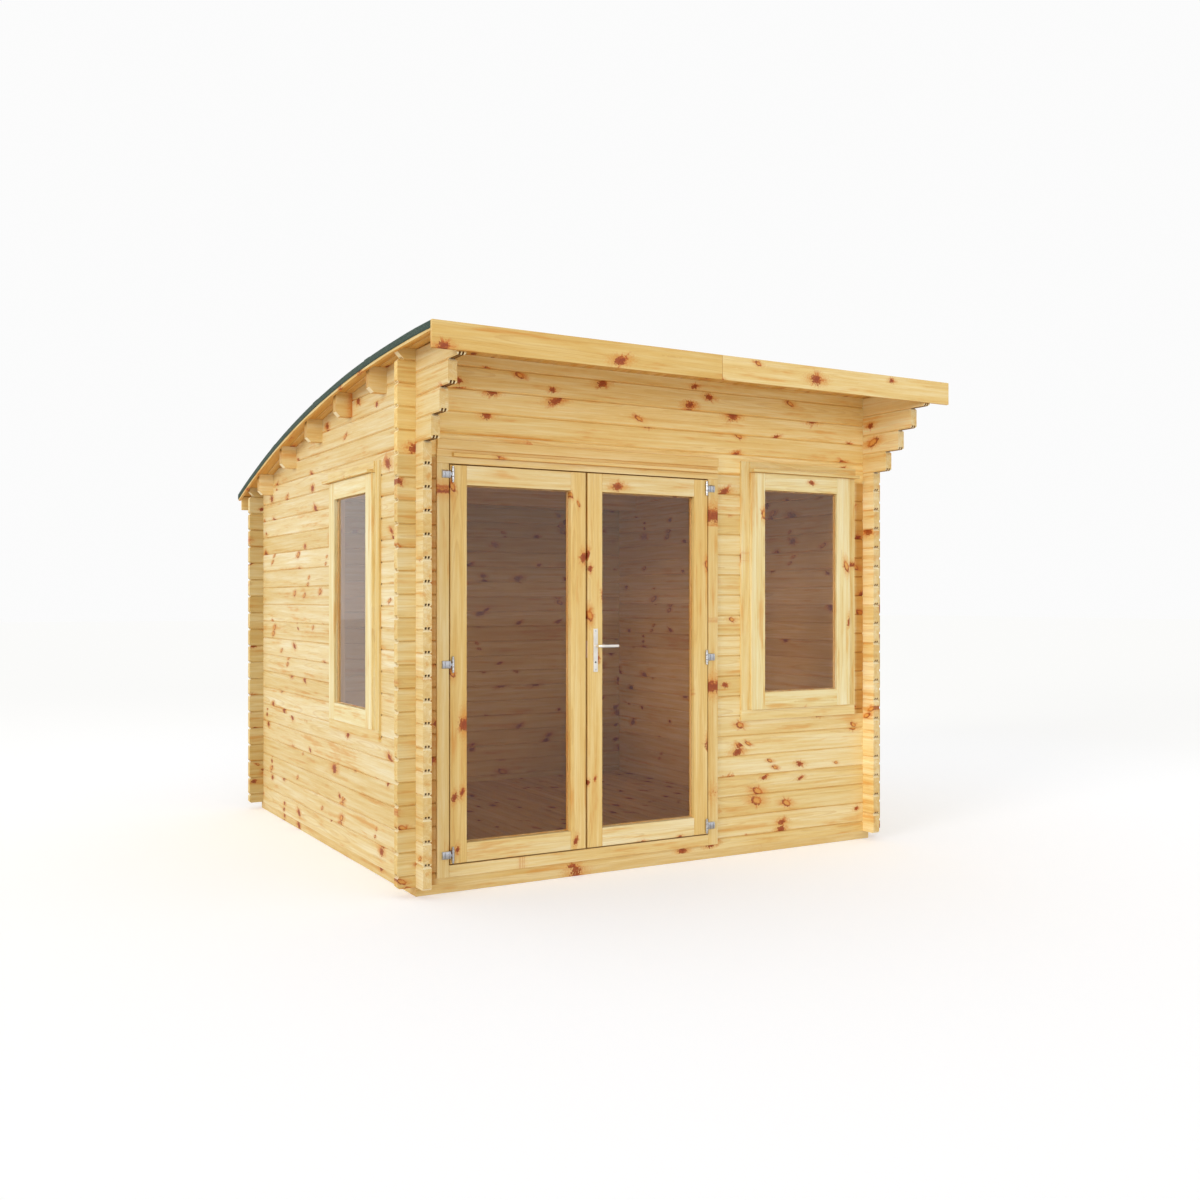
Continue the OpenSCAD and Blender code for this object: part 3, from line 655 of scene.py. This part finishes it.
def softened(node, width):
    """A copy of a CAD node's mesh with rounded edges."""
    shape = bmesh.new()
    shape.from_mesh(frame["nodes"][node].data)
    bmesh.ops.remove_doubles(shape, verts=shape.verts, dist=1e-5)
    bmesh.ops.dissolve_limit(
        shape, angle_limit=math.radians(1), verts=shape.verts, edges=shape.edges
    )
    sharp = [
        edge for edge in shape.edges
        if edge.is_manifold and edge.calc_face_angle(0) > math.radians(25)
        and edge.calc_length() > 2 * width
    ]
    bmesh.ops.bevel(
        shape, geom=sharp, offset=width, segments=2, profile=0.5, affect="EDGES",
        clamp_overlap=True,
    )
    return mesh_of(shape, node)


def joinery(node, material, axis=None):
    """A node's timber with softened edges and its own grain."""
    mesh = softened(node, EDGE_ROUND)
    set_grain(mesh, node, axis)
    put("soft_" + node, mesh, material, BODY_OF[node], SLOT_OF[node], node)


# ---- Things that repeat ----


def roof_height(y):
    return ROOF_TOP - ROOF_R + math.sqrt(ROOF_R**2 - (y - CROWN_Y) ** 2)


def grown(tree, material, curved=0.0, **values):
    """The plain mesh that a geometry tree gives for these inputs."""
    values.update(material=material, curved=curved, crown=CROWN_Y, radius=ROOF_R)
    holder = bpy.data.objects.new("holder", bpy.data.meshes.new("holder"))
    bpy.context.scene.collection.objects.link(holder)
    modifier = holder.modifiers.new("tree", "NODES")
    modifier.node_group = tree
    for item in tree.interface.items_tree:
        if item.item_type == "SOCKET" and item.in_out == "INPUT":
            modifier[item.identifier] = values[item.name.replace(" ", "_").lower()]
    shown = holder.evaluated_get(bpy.context.evaluated_depsgraph_get())
    mesh = bpy.data.meshes.new_from_object(shown)
    bpy.data.objects.remove(holder)
    return mesh


ROOF_INPUTS = ["Curved", "Crown", "Radius"]


def end_on_roof(t, geometry, given):
    """Lowers the geometry by the roof's fall from its crown if Curved is 1, gives it its
    material and ends the tree."""
    y = t.split(t.out("GeometryNodeInputPosition"))[1]
    away = t.squared(t.minus(y, given["Crown"]))
    arc = t.math("SQRT", t.minus(t.squared(given["Radius"]), away))
    fall = t.times(t.minus(arc, given["Radius"]), given["Curved"])
    inputs = {"Geometry": geometry, "Offset": t.join(0.0, 0.0, fall)}
    geometry = t.out("GeometryNodeSetPosition", inputs)
    inputs = {"Geometry": geometry, "Material": given["Material"]}
    geometry = t.out("GeometryNodeSetMaterial", inputs)
    t.feed(t.add("NodeGroupOutput").inputs[0], geometry)


def board_deck_tree():
    """Boards side by side along X, each with bevelled edges, that may follow the roof."""
    tree = bpy.data.node_groups.new("Board deck", "GeometryNodeTree")
    floats = ["Left", "Right", "Front", "Back", "Top", "Board width", "Thickness", "Joint"]
    sockets(tree, "INPUT", {name: "Float" for name in floats + ["Groove"] + ROOF_INPUTS})
    sockets(tree, "INPUT", {"Lengths": "Int", "Seed": "Int", "Material": "Material"})
    sockets(tree, "OUTPUT", {"Geometry": "Geometry"})
    t = Tree(tree)
    given = t.add("NodeGroupInput").outputs
    span = t.minus(given["Right"], given["Left"])
    count = t.math("ROUND", t.over(span, given["Board width"]))
    pitch = t.over(span, count)
    inputs = {"Width": t.minus(pitch, given["Joint"]), "Height": given["Thickness"]}
    section = t.out("GeometryNodeCurvePrimitiveQuadrilateral", inputs)
    inputs = {"Curve": section, "Radius": given["Groove"]}
    section = t.out("GeometryNodeFilletCurve", inputs, mode="POLY")
    start = t.join(0.0, given["Front"], 0.0)
    end = t.join(0.0, given["Back"], 0.0)
    line = t.out("GeometryNodeCurvePrimitiveLine", {"Start": start, "End": end})
    line = t.out("GeometryNodeResampleCurve", {"Curve": line, "Count": given["Lengths"]})
    inputs = {"Curve": line, "Profile Curve": section, "Fill Caps": True}
    board = t.out("GeometryNodeCurveToMesh", inputs)
    first_x = t.times(pitch, 0.5, given["Left"])
    middle_z = t.times(given["Thickness"], -0.5, given["Top"])
    inputs = {
        "Count": count,
        "Start Location": t.join(first_x, 0.0, middle_z),
        "Offset": t.join(pitch, 0.0, 0.0),
    }
    row = t.out("GeometryNodeMeshLine", inputs)
    boards = t.out("GeometryNodeInstanceOnPoints", {"Points": row, "Instance": board})
    board_x = t.split(t.out("GeometryNodeInputPosition"))[0]
    draw = t.add("FunctionNodeRandomValue", {"Seed": given["Seed"]}, data_type="FLOAT")
    boards = t.store(boards, "middle", board_x, "FLOAT", "INSTANCE")
    boards = t.store(boards, "tone", draw.outputs[1], "FLOAT", "INSTANCE")
    boards = t.out("GeometryNodeRealizeInstances", {"Geometry": boards})
    x, y, z = t.split(t.out("GeometryNodeInputPosition"))
    tone = t.stored("tone")
    pith = t.times(t.math("FRACT", t.times(tone, 97.0)), 0.1, -0.05)
    grain = t.join(
        t.times(tone, 70.0, y),
        t.plus(t.minus(x, t.stored("middle")), pith),
        t.plus(t.minus(z, given["Top"]), 0.035),
    )
    boards = t.store(boards, "grain", grain, "FLOAT_VECTOR", "POINT")
    end_on_roof(t, boards, given)
    return tree


def nail_row_tree():
    """A row of nail heads from Start to End, turned by Turn, that may follow the roof."""
    tree = bpy.data.node_groups.new("Nail row", "GeometryNodeTree")
    sockets(tree, "INPUT", {"Start": "Vector", "End": "Vector", "Turn": "Vector", "Count": "Int"})
    floats = ["Head radius", "Head height"]
    sockets(tree, "INPUT", {name: "Float" for name in floats + ROOF_INPUTS})
    sockets(tree, "INPUT", {"Material": "Material"})
    sockets(tree, "OUTPUT", {"Geometry": "Geometry"})
    t = Tree(tree)
    given = t.add("NodeGroupInput").outputs
    inputs = {
        "Vertices": 10,
        "Radius Top": t.times(given["Head radius"], 0.7),
        "Radius Bottom": given["Head radius"],
        "Depth": given["Head height"],
    }
    head = t.out("GeometryNodeMeshCone", inputs)
    inputs = {"Count": given["Count"], "Start Location": given["Start"], "Offset": given["End"]}
    row = t.out("GeometryNodeMeshLine", inputs, mode="END_POINTS")
    inputs = {"Points": row, "Instance": head, "Rotation": given["Turn"]}
    heads = t.out("GeometryNodeInstanceOnPoints", inputs)
    heads = t.out("GeometryNodeRealizeInstances", {"Geometry": heads})
    end_on_roof(t, heads, given)
    return tree


BOARD_DECK = board_deck_tree()
NAIL_ROW = nail_row_tree()


def roof_boards():
    """Grooved boards that run down the roof and bend over the purlins."""
    mesh = grown(
        BOARD_DECK, ROOF_BOARDS, 1.0, left=DECK_LOW.x, right=DECK_HIGH.x, front=DECK_LOW.y,
        back=DECK_HIGH.y, top=ROOF_TOP - (FELT_HIGH.z - DECK_HIGH.z), board_width=0.088,
        thickness=DECK_T, joint=0.0006, groove=0.003, lengths=48, seed=3,
    )
    put("roof_boards", mesh, ROOF_BOARDS, "cabin", "board_wood", "roof_deck")


def floor():
    """Floor boards from front to back."""
    mesh = grown(
        BOARD_DECK, FLOOR_PINE, left=FLOOR_LOW.x, right=FLOOR_HIGH.x, front=FLOOR_LOW.y,
        back=FLOOR_HIGH.y, top=FLOOR_HIGH.z, board_width=0.112,
        thickness=FLOOR_HIGH.z - FLOOR_LOW.z, joint=0.0008, groove=0.002, lengths=2, seed=8,
    )
    put("floor_planks", mesh, FLOOR_PINE, "cabin", "floor_wood", "floor_boards")


def joined(meshes, name):
    """One mesh made of several."""
    shape = bmesh.new()
    for mesh in meshes:
        shape.from_mesh(mesh)
    return mesh_of(shape, name)


def felt_rolls():
    """Rolls of felt across the roof. Each laps over the next one down, and its ends and the
    lowest edge are folded over the boards."""
    rolls = 4
    lap = 0.08
    fold = 0.036
    corner = 0.005
    flat_from = 0.03
    sunk = 0.0008
    front, back = DECK_LOW.y, FELT_HIGH.y
    pitch = (back - front) / rolls
    half = FELT_HIGH.x
    shape = bmesh.new()
    # Across the roof: how far in from the edge and how far down the sheet lies
    edge = [(0.0, fold), (0.0, 0.024), (0.0, 0.012), (0.0, corner)]
    edge += [(corner * 0.3, corner * 0.3), (corner, 0.0), (flat_from, 0.0)]
    inner = [(flat_from + i * (half - flat_from) / 12, 0.0) for i in range(1, 12)]
    rows = [(-half + u, d) for u, d in edge + inner] + [(0.0, 0.0)]
    rows += [(half - u, d) for u, d in reversed(edge + inner)]
    draw = random.Random(11)
    for roll in range(rolls):
        start = front + roll * pitch - (lap if roll else 0.0)
        stop = front + (roll + 1) * pitch
        steps = 30
        ys = [start + (stop - start) * i / steps for i in range(steps + 1)]
        downs = [0.0] * len(ys)
        if roll == rolls - 1:
            stop -= 0.002
            ys = [y for y in ys if y < stop - 0.02]
            downs = [0.0] * (len(ys) + 1) + [0.0015, 0.006, 0.02, fold]
            ys += [stop - 0.006, stop - 0.0015, stop, stop, stop]
        grid = []
        for y, down in zip(ys, downs):
            under = 1.0 if roll and y < start + lap + 0.01 else 0.0
            lifted = 1.0 if roll < rolls - 1 and y > stop - lap - 0.005 else 0.0
            line = []
            for x, side_down in rows:
                ripple = 0.0005 * math.sin(x * 7 + roll) * math.sin(y * 11 + roll * 2)
                inset = 1.0 - FELT_T * under / half
                fallen = min(fold, down + side_down)
                loose = draw.uniform(-0.0002, 0.0002) if fallen == 0 else 0.0
                z = roof_height(min(y, back)) - fallen + FELT_T * lifted + loose + ripple
                z -= sunk if fallen == 0 else 0.0
                line.append(shape.verts.new((x * inset, y, z)))
            grid.append(line)
        for line, following in zip(grid, grid[1:]):
            for a, b, c, d in zip(line, line[1:], following[1:], following):
                shape.faces.new((a, b, c, d))
    for face in shape.faces:
        face.smooth = True
    bmesh.ops.recalc_face_normals(shape, faces=shape.faces)
    mesh = mesh_of(shape, "felt_rolls")
    if sum(p.normal.z * p.area for p in mesh.polygons) < 0:
        mesh.flip_normals()
    piece = put("felt_rolls", mesh, FELT, "cabin", "felt", "roof_felt")
    thicken = piece.modifiers.new("thickness", "SOLIDIFY")
    thicken.thickness = FELT_T
    thicken.offset = -1.0


def fascia_boards():
    """The front fascia, made of two boards that meet end to end."""
    low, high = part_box("front_fascia")
    meeting = BASE_LOW.x + 1.454
    half_gap = 0.0006
    shape = bmesh.new()
    for left, right in ((low.x, meeting - half_gap), (meeting + half_gap, high.x)):
        made = bmesh.ops.create_cube(shape, size=1.0)["verts"]
        for vertex in made:
            vertex.co.x = left if vertex.co.x < 0 else right
            vertex.co.y = low.y if vertex.co.y < 0 else high.y
            vertex.co.z = low.z if vertex.co.z < 0 else high.z
    bmesh.ops.bevel(
        shape, geom=shape.edges[:], offset=EDGE_ROUND, segments=2, profile=0.5, affect="EDGES"
    )
    mesh = mesh_of(shape, "fascia_boards")
    set_grain(mesh, "front fascia", tones=(1.0, 0.0))
    put("fascia_boards", mesh, FASCIA_PINE, "cabin", "board_wood", "front_fascia")


def nails():
    """Clout nails along the folded edges of the felt, and floor nails over the joists."""
    rows = []
    for side in (-1, 1):
        x = side * (FELT_HIGH.x - 0.0011)
        z = ROOF_TOP - 0.024
        rows.append(grown(
            NAIL_ROW, NAIL_STEEL, 1.0, start=(x, DECK_LOW.y + 0.05, z),
            end=(x, DECK_HIGH.y - 0.05, z), turn=(0.0, side * math.pi / 2, 0.0), count=36,
            head_radius=0.0042, head_height=0.001,
        ))
    put("felt_nails", joined(rows, "felt_nails"), NAIL_STEEL, "cabin", "hinge_steel")
    rows = []
    joist_low, joist_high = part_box("floor_joists")
    joists = 5
    pitch = (joist_high.y - joist_low.y - LOG_T) / (joists - 1)
    z = FLOOR_HIGH.z - 0.0002
    for joist in range(joists):
        y = joist_low.y + LOG_T / 2 + joist * pitch
        rows.append(grown(
            NAIL_ROW, NAIL_STEEL, start=(FLOOR_LOW.x + 0.03, y, z),
            end=(FLOOR_HIGH.x - 0.03, y, z), turn=(0.0, 0.0, 0.0), count=50,
            head_radius=0.0028, head_height=0.0005,
        ))
    put("floor_nails", joined(rows, "floor_nails"), NAIL_STEEL, "cabin", "hinge_steel")


def glazing_beads(name):
    """Mitred beads round the inner side of a leaf's or a window's pane."""
    glass = name + "_glass"
    low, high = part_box(glass)
    side = 0 if high.x - low.x > high.y - low.y else 1
    axis = 1 - side
    wide, deep, gap = 0.006, 0.009, 0.0002
    shape = bmesh.new()
    loops = []
    for inset, depth in ((0.0, gap), (wide * 0.6, gap), (wide, deep / 2), (wide, deep), (0.0, deep)):
        loop = []
        for right, top in ((0, 0), (1, 0), (1, 1), (0, 1)):
            point = Vector((0, 0, 0))
            point[side] = high[side] - inset if right else low[side] + inset
            point.z = high.z - inset if top else low.z + inset
            point[axis] = high[axis] + depth
            loop.append(shape.verts.new(point))
        loops.append(loop)
    for a, b in zip(loops, loops[1:] + loops[:1]):
        for i in range(4):
            j = (i + 1) % 4
            shape.faces.new((a[i], a[j], b[j], b[i]))
    bmesh.ops.recalc_face_normals(shape, faces=shape.faces)
    mesh = mesh_of(shape, name)
    set_grain(mesh, name)
    put(name + "_beads", mesh, SASH_PINE, BODY_OF[glass], "joinery_wood")


# ---- Ironmongery ----


def lofted(shape, loops):
    """Joins closed loops of points one after another by faces, and closes both ends."""
    rings = [[shape.verts.new(p) for p in loop] for loop in loops]
    count = len(rings[0])
    for a, b in zip(rings, rings[1:]):
        for i in range(count):
            j = (i + 1) % count
            shape.faces.new((a[i], a[j], b[j], b[i]))
    shape.faces.new(rings[0])
    shape.faces.new(rings[-1])


def circle(radius, sides):
    """Points on a circle, as pairs."""
    angles = [2 * math.pi * i / sides for i in range(sides)]
    return [(radius * math.cos(a), radius * math.sin(a)) for a in angles]


def turned(shape, centre, profile):
    """A shape turned round an upright axis through centre, from heights and radii."""
    lofted(shape, [
        [centre + Vector((x, y, height)) for x, y in circle(radius, 24)]
        for height, radius in profile
    ])


def finished(shape, name):
    """The mesh of a shape, with faces that point outwards and soft shading on its rounds."""
    bmesh.ops.recalc_face_normals(shape, faces=shape.faces)
    for face in shape.faces:
        face.smooth = True
    for edge in shape.edges:
        if edge.is_manifold and edge.calc_face_angle(0) > math.radians(35):
            edge.smooth = False
    return mesh_of(shape, name)


KNUCKLE_R = 0.0075
HINGE_H = 0.083
BARREL_H = 0.059
MIDDLE_H = 0.024
BRACKET_HALF = 0.020
BRACKET_OUT = 0.009
BRACKET_GAP = 0.010
SOFT = 0.0012  # how much a turned edge is rounded
# Along the bracket: distance from its inner end, and share of its full depth
BRACKET_RIBS = (
    (0.0, 0.70), (0.0012, 1.0), (0.0085, 1.0), (0.0095, 0.62), (0.0140, 0.62), (0.0150, 1.0),
    (0.0300, 1.0), (0.0310, 0.62), (0.0355, 0.62), (0.0365, 1.0), (0.0448, 1.0), (0.046, 0.70),
)


def hinge_places(node):
    """Where the pins of a leaf's three hinges stand."""
    low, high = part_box(node)
    levels = (low.z + HINGE_H / 2, (low.z + high.z) / 2, high.z - HINGE_H / 2)
    return [Vector(((low.x + high.x) / 2, low.y + KNUCKLE_R, z)) for z in levels]


def frame_hinge_brackets():
    """The fixed halves: a ribbed half-round boss on the jamb, a neck and a knuckle."""
    face_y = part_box("left_leaf_stiles")[0].y
    shape = bmesh.new()
    for node, side in (("left_leaf_hinges", -1), ("right_leaf_hinges", 1)):
        for pin in hinge_places(node):
            loops = []
            for reach, share in BRACKET_RIBS:
                loop = []
                for i in range(17):
                    angle = math.pi * (i / 16 - 0.5)
                    y = face_y - BRACKET_OUT * share * math.cos(angle) ** 0.7
                    z = pin.z + BRACKET_HALF * (0.9 + 0.1 * share) * math.sin(angle)
                    loop.append((pin.x + side * (BRACKET_GAP + reach), y, z))
                loops.append(loop)
            lofted(shape, loops)
            neck = []
            for x, tall in ((BRACKET_GAP + 0.001, 0.006), (0.003, 0.0045)):
                loop = []
                for y, z in ((-0.0035, -1), (0.0055, -1), (0.0055, 1), (-0.0035, 1)):
                    loop.append((pin.x + side * x, pin.y + y, pin.z + z * tall))
                neck.append(loop)
            lofted(shape, neck)
            half = MIDDLE_H / 2
            turned(shape, pin, [
                (-half, KNUCKLE_R - SOFT), (SOFT - half, KNUCKLE_R),
                (half - SOFT, KNUCKLE_R), (half, KNUCKLE_R - SOFT),
            ])
    mesh = finished(shape, "hinge_brackets")
    put("hinge_brackets", mesh, HINGE_ZINC, "cabin", "hinge_steel", "frame_hinges")


def leaf_hinge_knuckles(node):
    """The moving halves: two knuckles with caps on the pin, and lugs to the stile."""
    shape = bmesh.new()
    start = MIDDLE_H / 2 + 0.001
    cap_r = 0.0055
    for pin in hinge_places(node):
        for way in (-1, 1):
            profile = [
                (start, KNUCKLE_R - SOFT), (start + SOFT, KNUCKLE_R),
                (BARREL_H / 2 - SOFT, KNUCKLE_R), (BARREL_H / 2, KNUCKLE_R - SOFT),
                (BARREL_H / 2 + 0.0002, cap_r), (HINGE_H / 2 - 0.002, cap_r),
                (HINGE_H / 2 - 0.0005, cap_r - 0.0015), (HINGE_H / 2, cap_r - 0.004),
            ]
            turned(shape, pin, [(way * height, radius) for height, radius in profile])
            lug = []
            for z in (start + 0.0005, BARREL_H / 2 - 0.001):
                loop = []
                for x, y in ((-0.0045, 0.0), (0.0045, 0.0), (0.0045, 0.009), (-0.0045, 0.009)):
                    loop.append((pin.x + x, pin.y + y, pin.z + way * z))
                lug.append(loop)
            lofted(shape, lug)
    mesh = finished(shape, node + "_knuckles")
    put(node + "_knuckles", mesh, HINGE_ZINC, BODY_OF[node], "hinge_steel", node)


PLATE_LOW, PLATE_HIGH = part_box("handle_plates")
LEVER_LOW, LEVER_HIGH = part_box("door_lever")
LEVER_Z = (LEVER_LOW.z + LEVER_HIGH.z) / 2
SPINDLE_X = (PLATE_LOW.x + PLATE_HIGH.x) / 2
# For each side of the leaf: which way is out, and where the plate's face is
LEAF_SIDES = ((-1, PLATE_LOW.y), (1, PLATE_HIGH.y))
LEVER_BEND = 0.012
BAR_H = 0.0155
BAR_T = 0.011


def handle_plates():
    mesh = softened("handle_plates", 0.0015)
    put("handle_plate_pair", mesh, HANDLE_METAL, "right_door", "handle_metal", "handle_plates")


def lever_path(way, plate_y):
    """Along a lever, out of its plate, round a bend and on: how far from the spindle and how
    deep its middle is, and what share of its full section it has there."""
    out_y = LEVER_LOW.y + 0.008 if way < 0 else LEVER_HIGH.y - 0.008
    path = [(0.0, plate_y - way * 0.004, 0.8), (0.0, out_y - way * LEVER_BEND, 0.8)]
    for i in range(1, 7):
        turn = math.pi / 2 * i / 6
        x = LEVER_BEND * (1 - math.cos(turn))
        y = out_y - way * LEVER_BEND * (1 - math.sin(turn))
        path.append((x, y, 0.8 + 0.03 * i))
    end = LEVER_HIGH.x - SPINDLE_X
    path += [(end * 0.5, out_y, 1.0), (end - 0.004, out_y, 1.0)]
    return path + [(end - 0.001, out_y, 0.86), (end, out_y, 0.6)]


def levers():
    """Flat levers with round corners."""
    shape = bmesh.new()
    for way, plate_y in LEAF_SIDES:
        path = lever_path(way, plate_y)
        loops = []
        for i, (x, y, share) in enumerate(path):
            before = path[max(i - 1, 0)]
            after = path[min(i + 1, len(path) - 1)]
            heading = Vector((after[0] - before[0], after[1] - before[1], 0)).normalized()
            across = Vector((heading.y, -heading.x, 0))
            middle = Vector((SPINDLE_X + x, y, LEVER_Z))
            loop = []
            for c, d in circle(1.0, 20):
                c = math.copysign(abs(c) ** 0.6, c) * BAR_T / 2 * share
                d = math.copysign(abs(d) ** 0.6, d) * BAR_H / 2 * share
                loop.append(middle + across * c + Vector((0, 0, d)))
            loops.append(loop)
        lofted(shape, loops)
    mesh = finished(shape, "lever_pair")
    put("lever_pair", mesh, HANDLE_METAL, "door_lever_body", "handle_metal", "door_lever")


def collars():
    """Collars on the plates, round the levers' necks."""
    shape = bmesh.new()
    for way, plate_y in LEAF_SIDES:
        lofted(shape, [
            [(SPINDLE_X + x, plate_y + way * y, LEVER_Z + z) for x, z in circle(radius, 24)]
            for y, radius in ((-0.003, 0.0115), (0.0014, 0.0115), (0.002, 0.0109))
        ])
    mesh = finished(shape, "lever_collars")
    put("lever_collars", mesh, HANDLE_METAL, "right_door", "handle_metal")


def lock():
    """The lock cylinder, deep in its hole, and the lock's strip in the leaf's edge."""
    cylinder_z = LEVER_Z - 0.086
    shape = bmesh.new()
    lofted(shape, [
        [(SPINDLE_X + x, y, cylinder_z + z) for x, z in circle(0.0049, 20)]
        for y in (PLATE_LOW.y + 0.004, PLATE_HIGH.y - 0.004)
    ])
    mesh = finished(shape, "lock_cylinder")
    put("lock_cylinder", mesh, DARK_STEEL, "right_door", "hinge_steel")
    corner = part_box("right_leaf_stiles")[0]
    near, far = corner.y + 0.004, corner.y + 0.024
    low, high = LEVER_Z - 0.062, LEVER_Z + 0.028
    shape = bmesh.new()
    lofted(shape, [
        [(x, near, low), (x, far, low), (x, far, high), (x, near, high)]
        for x in (corner.x + 0.0005, corner.x - 0.0015)
    ])
    put("lock_strip", finished(shape, "lock_strip"), LOCK_STRIP, "right_door", "handle_metal")


def plate_screws():
    rows = []
    for way, plate_y in LEAF_SIDES:
        rows.append(grown(
            NAIL_ROW, HINGE_ZINC, start=(SPINDLE_X, plate_y, PLATE_LOW.z + 0.012),
            end=(SPINDLE_X, plate_y, PLATE_HIGH.z - 0.012), turn=(-way * math.pi / 2, 0.0, 0.0),
            count=2, head_radius=0.0042, head_height=0.0012,
        ))
    put("plate_screws", joined(rows, "plate_screws"), HINGE_ZINC, "right_door", "handle_metal")


# ---- What each node becomes ----

TIMBERS = {
    "purlins": PURLIN_PINE, "end_beams": CROSS_TIMBER, "floor_joists": CROSS_TIMBER,
    "side_beams": SIDE_TIMBER,
}
for node, item in frame["nodes"].items():
    finish = TIMBERS.get(node)
    if node.endswith(("_logs", "_log")):
        finish = FRONT_PINE if node.startswith(("front_", "back_")) else SIDE_PINE
    if node.endswith("_glass"):
        finish = GLASS
    if finish:
        item.data.materials.clear()
        item.data.materials.append(finish)

joinery("door_head_trim", HEAD_PINE)
for node in ("door_jambs", "door_stops", "door_head", "door_sill"):
    joinery(node, FRAME_PINE)
for leaf in ("left_leaf", "right_leaf"):
    joinery(leaf + "_stiles", STILE_PINE)
    joinery(leaf + "_rails", RAIL_PINE)
for side in ("front", "left"):
    joinery(side + "_window_frame", WINDOW_PINE)
    joinery(side + "_window_sash", SASH_PINE)
joinery("back_fascia", FASCIA_PINE)
joinery("verge_battens", FASCIA_PINE, axis=1)
fascia_boards()
roof_boards()
floor()
felt_rolls()
nails()
for glazed in ("left_leaf", "right_leaf", "front_window", "left_window"):
    glazing_beads(glazed)
frame_hinge_brackets()
leaf_hinge_knuckles("left_leaf_hinges")
leaf_hinge_knuckles("right_leaf_hinges")
handle_plates()
levers()
collars()
lock()
plate_screws()

# ---- Studio ----


def pale_floor():
    """A wide pale floor that keeps the cabin's shadow and turns white far off."""
    bpy.ops.mesh.primitive_plane_add(size=160, location=(0, 0, -0.001))
    ground = bpy.context.object
    ground.name = "studio_floor"
    material, t, shader = new_material("Studio floor")
    shader.inputs["Roughness"].default_value = 1.0
    shader.inputs["Specular IOR Level"].default_value = 0.0
    place = t.place()
    away = t.add("ShaderNodeVectorMath", {0: place}, operation="LENGTH").outputs["Value"]
    color = t.blend(t.ease(away, 2.0, 9.0), (0.92, 0.93, 0.955, 1), (0.92, 0.918, 0.905, 1))
    t.feed(shader.inputs["Base Color"], color)
    seen = t.add("ShaderNodeLightPath").outputs["Is Camera Ray"]
    glow = t.times(t.ease(away, 2.0, 14.0, 0.26, 0.20), seen)
    shader.inputs["Emission Color"].default_value = (1, 1, 1, 1)
    t.feed(shader.inputs["Emission Strength"], glow)
    ground.data.materials.append(material)


def white_world():
    """White all round where it is seen, and a plain soft light where it falls."""
    world = bpy.data.worlds.new("Studio")
    bpy.context.scene.world = world
    world.use_nodes = True
    t = Tree(world.node_tree)
    sky = world.node_tree.nodes["Background"]
    sky.inputs["Color"].default_value = (1, 1, 1, 1)
    rays = t.add("ShaderNodeLightPath").outputs
    seen = t.math("MAXIMUM", rays["Is Camera Ray"], rays["Is Glossy Ray"])
    seen = t.math("MAXIMUM", seen, rays["Is Transmission Ray"])
    t.feed(sky.inputs["Strength"], t.ease(seen, 0.0, 1.0, 0.75, 0.97))


def lamp(name, power, towards):
    """A wide soft sun that shines from a direction."""
    light = bpy.data.lights.new(name, "SUN")
    light.energy = power
    light.angle = math.radians(LAMP_WIDTH)
    light.color = (1.0, 0.985, 0.955)
    item = bpy.data.objects.new(name, light)
    item.rotation_euler = Vector(towards).to_track_quat("Z", "Y").to_euler()
    bpy.context.scene.collection.objects.link(item)


LAMP_WIDTH = 24
CAMERA_AT = (-3.616, -6.796, 1.445)
CAMERA_TURN = -30.0
LENS = 36.14


def camera():
    data = bpy.data.cameras.new("camera")
    data.lens = LENS
    data.sensor_width = 36.0
    data.clip_end = 300.0
    item = bpy.data.objects.new("camera", data)
    item.location = CAMERA_AT
    item.rotation_euler = Euler((math.pi / 2, 0, math.radians(CAMERA_TURN)))
    bpy.context.scene.collection.objects.link(item)
    bpy.context.scene.camera = item


pale_floor()
white_world()
lamp("key", 1.07, (-0.83, -0.28, 0.18))
lamp("fill", 0.60, (-0.09, -0.98, 0.07))
camera()
bpy.context.scene.view_settings.view_transform = "Standard"
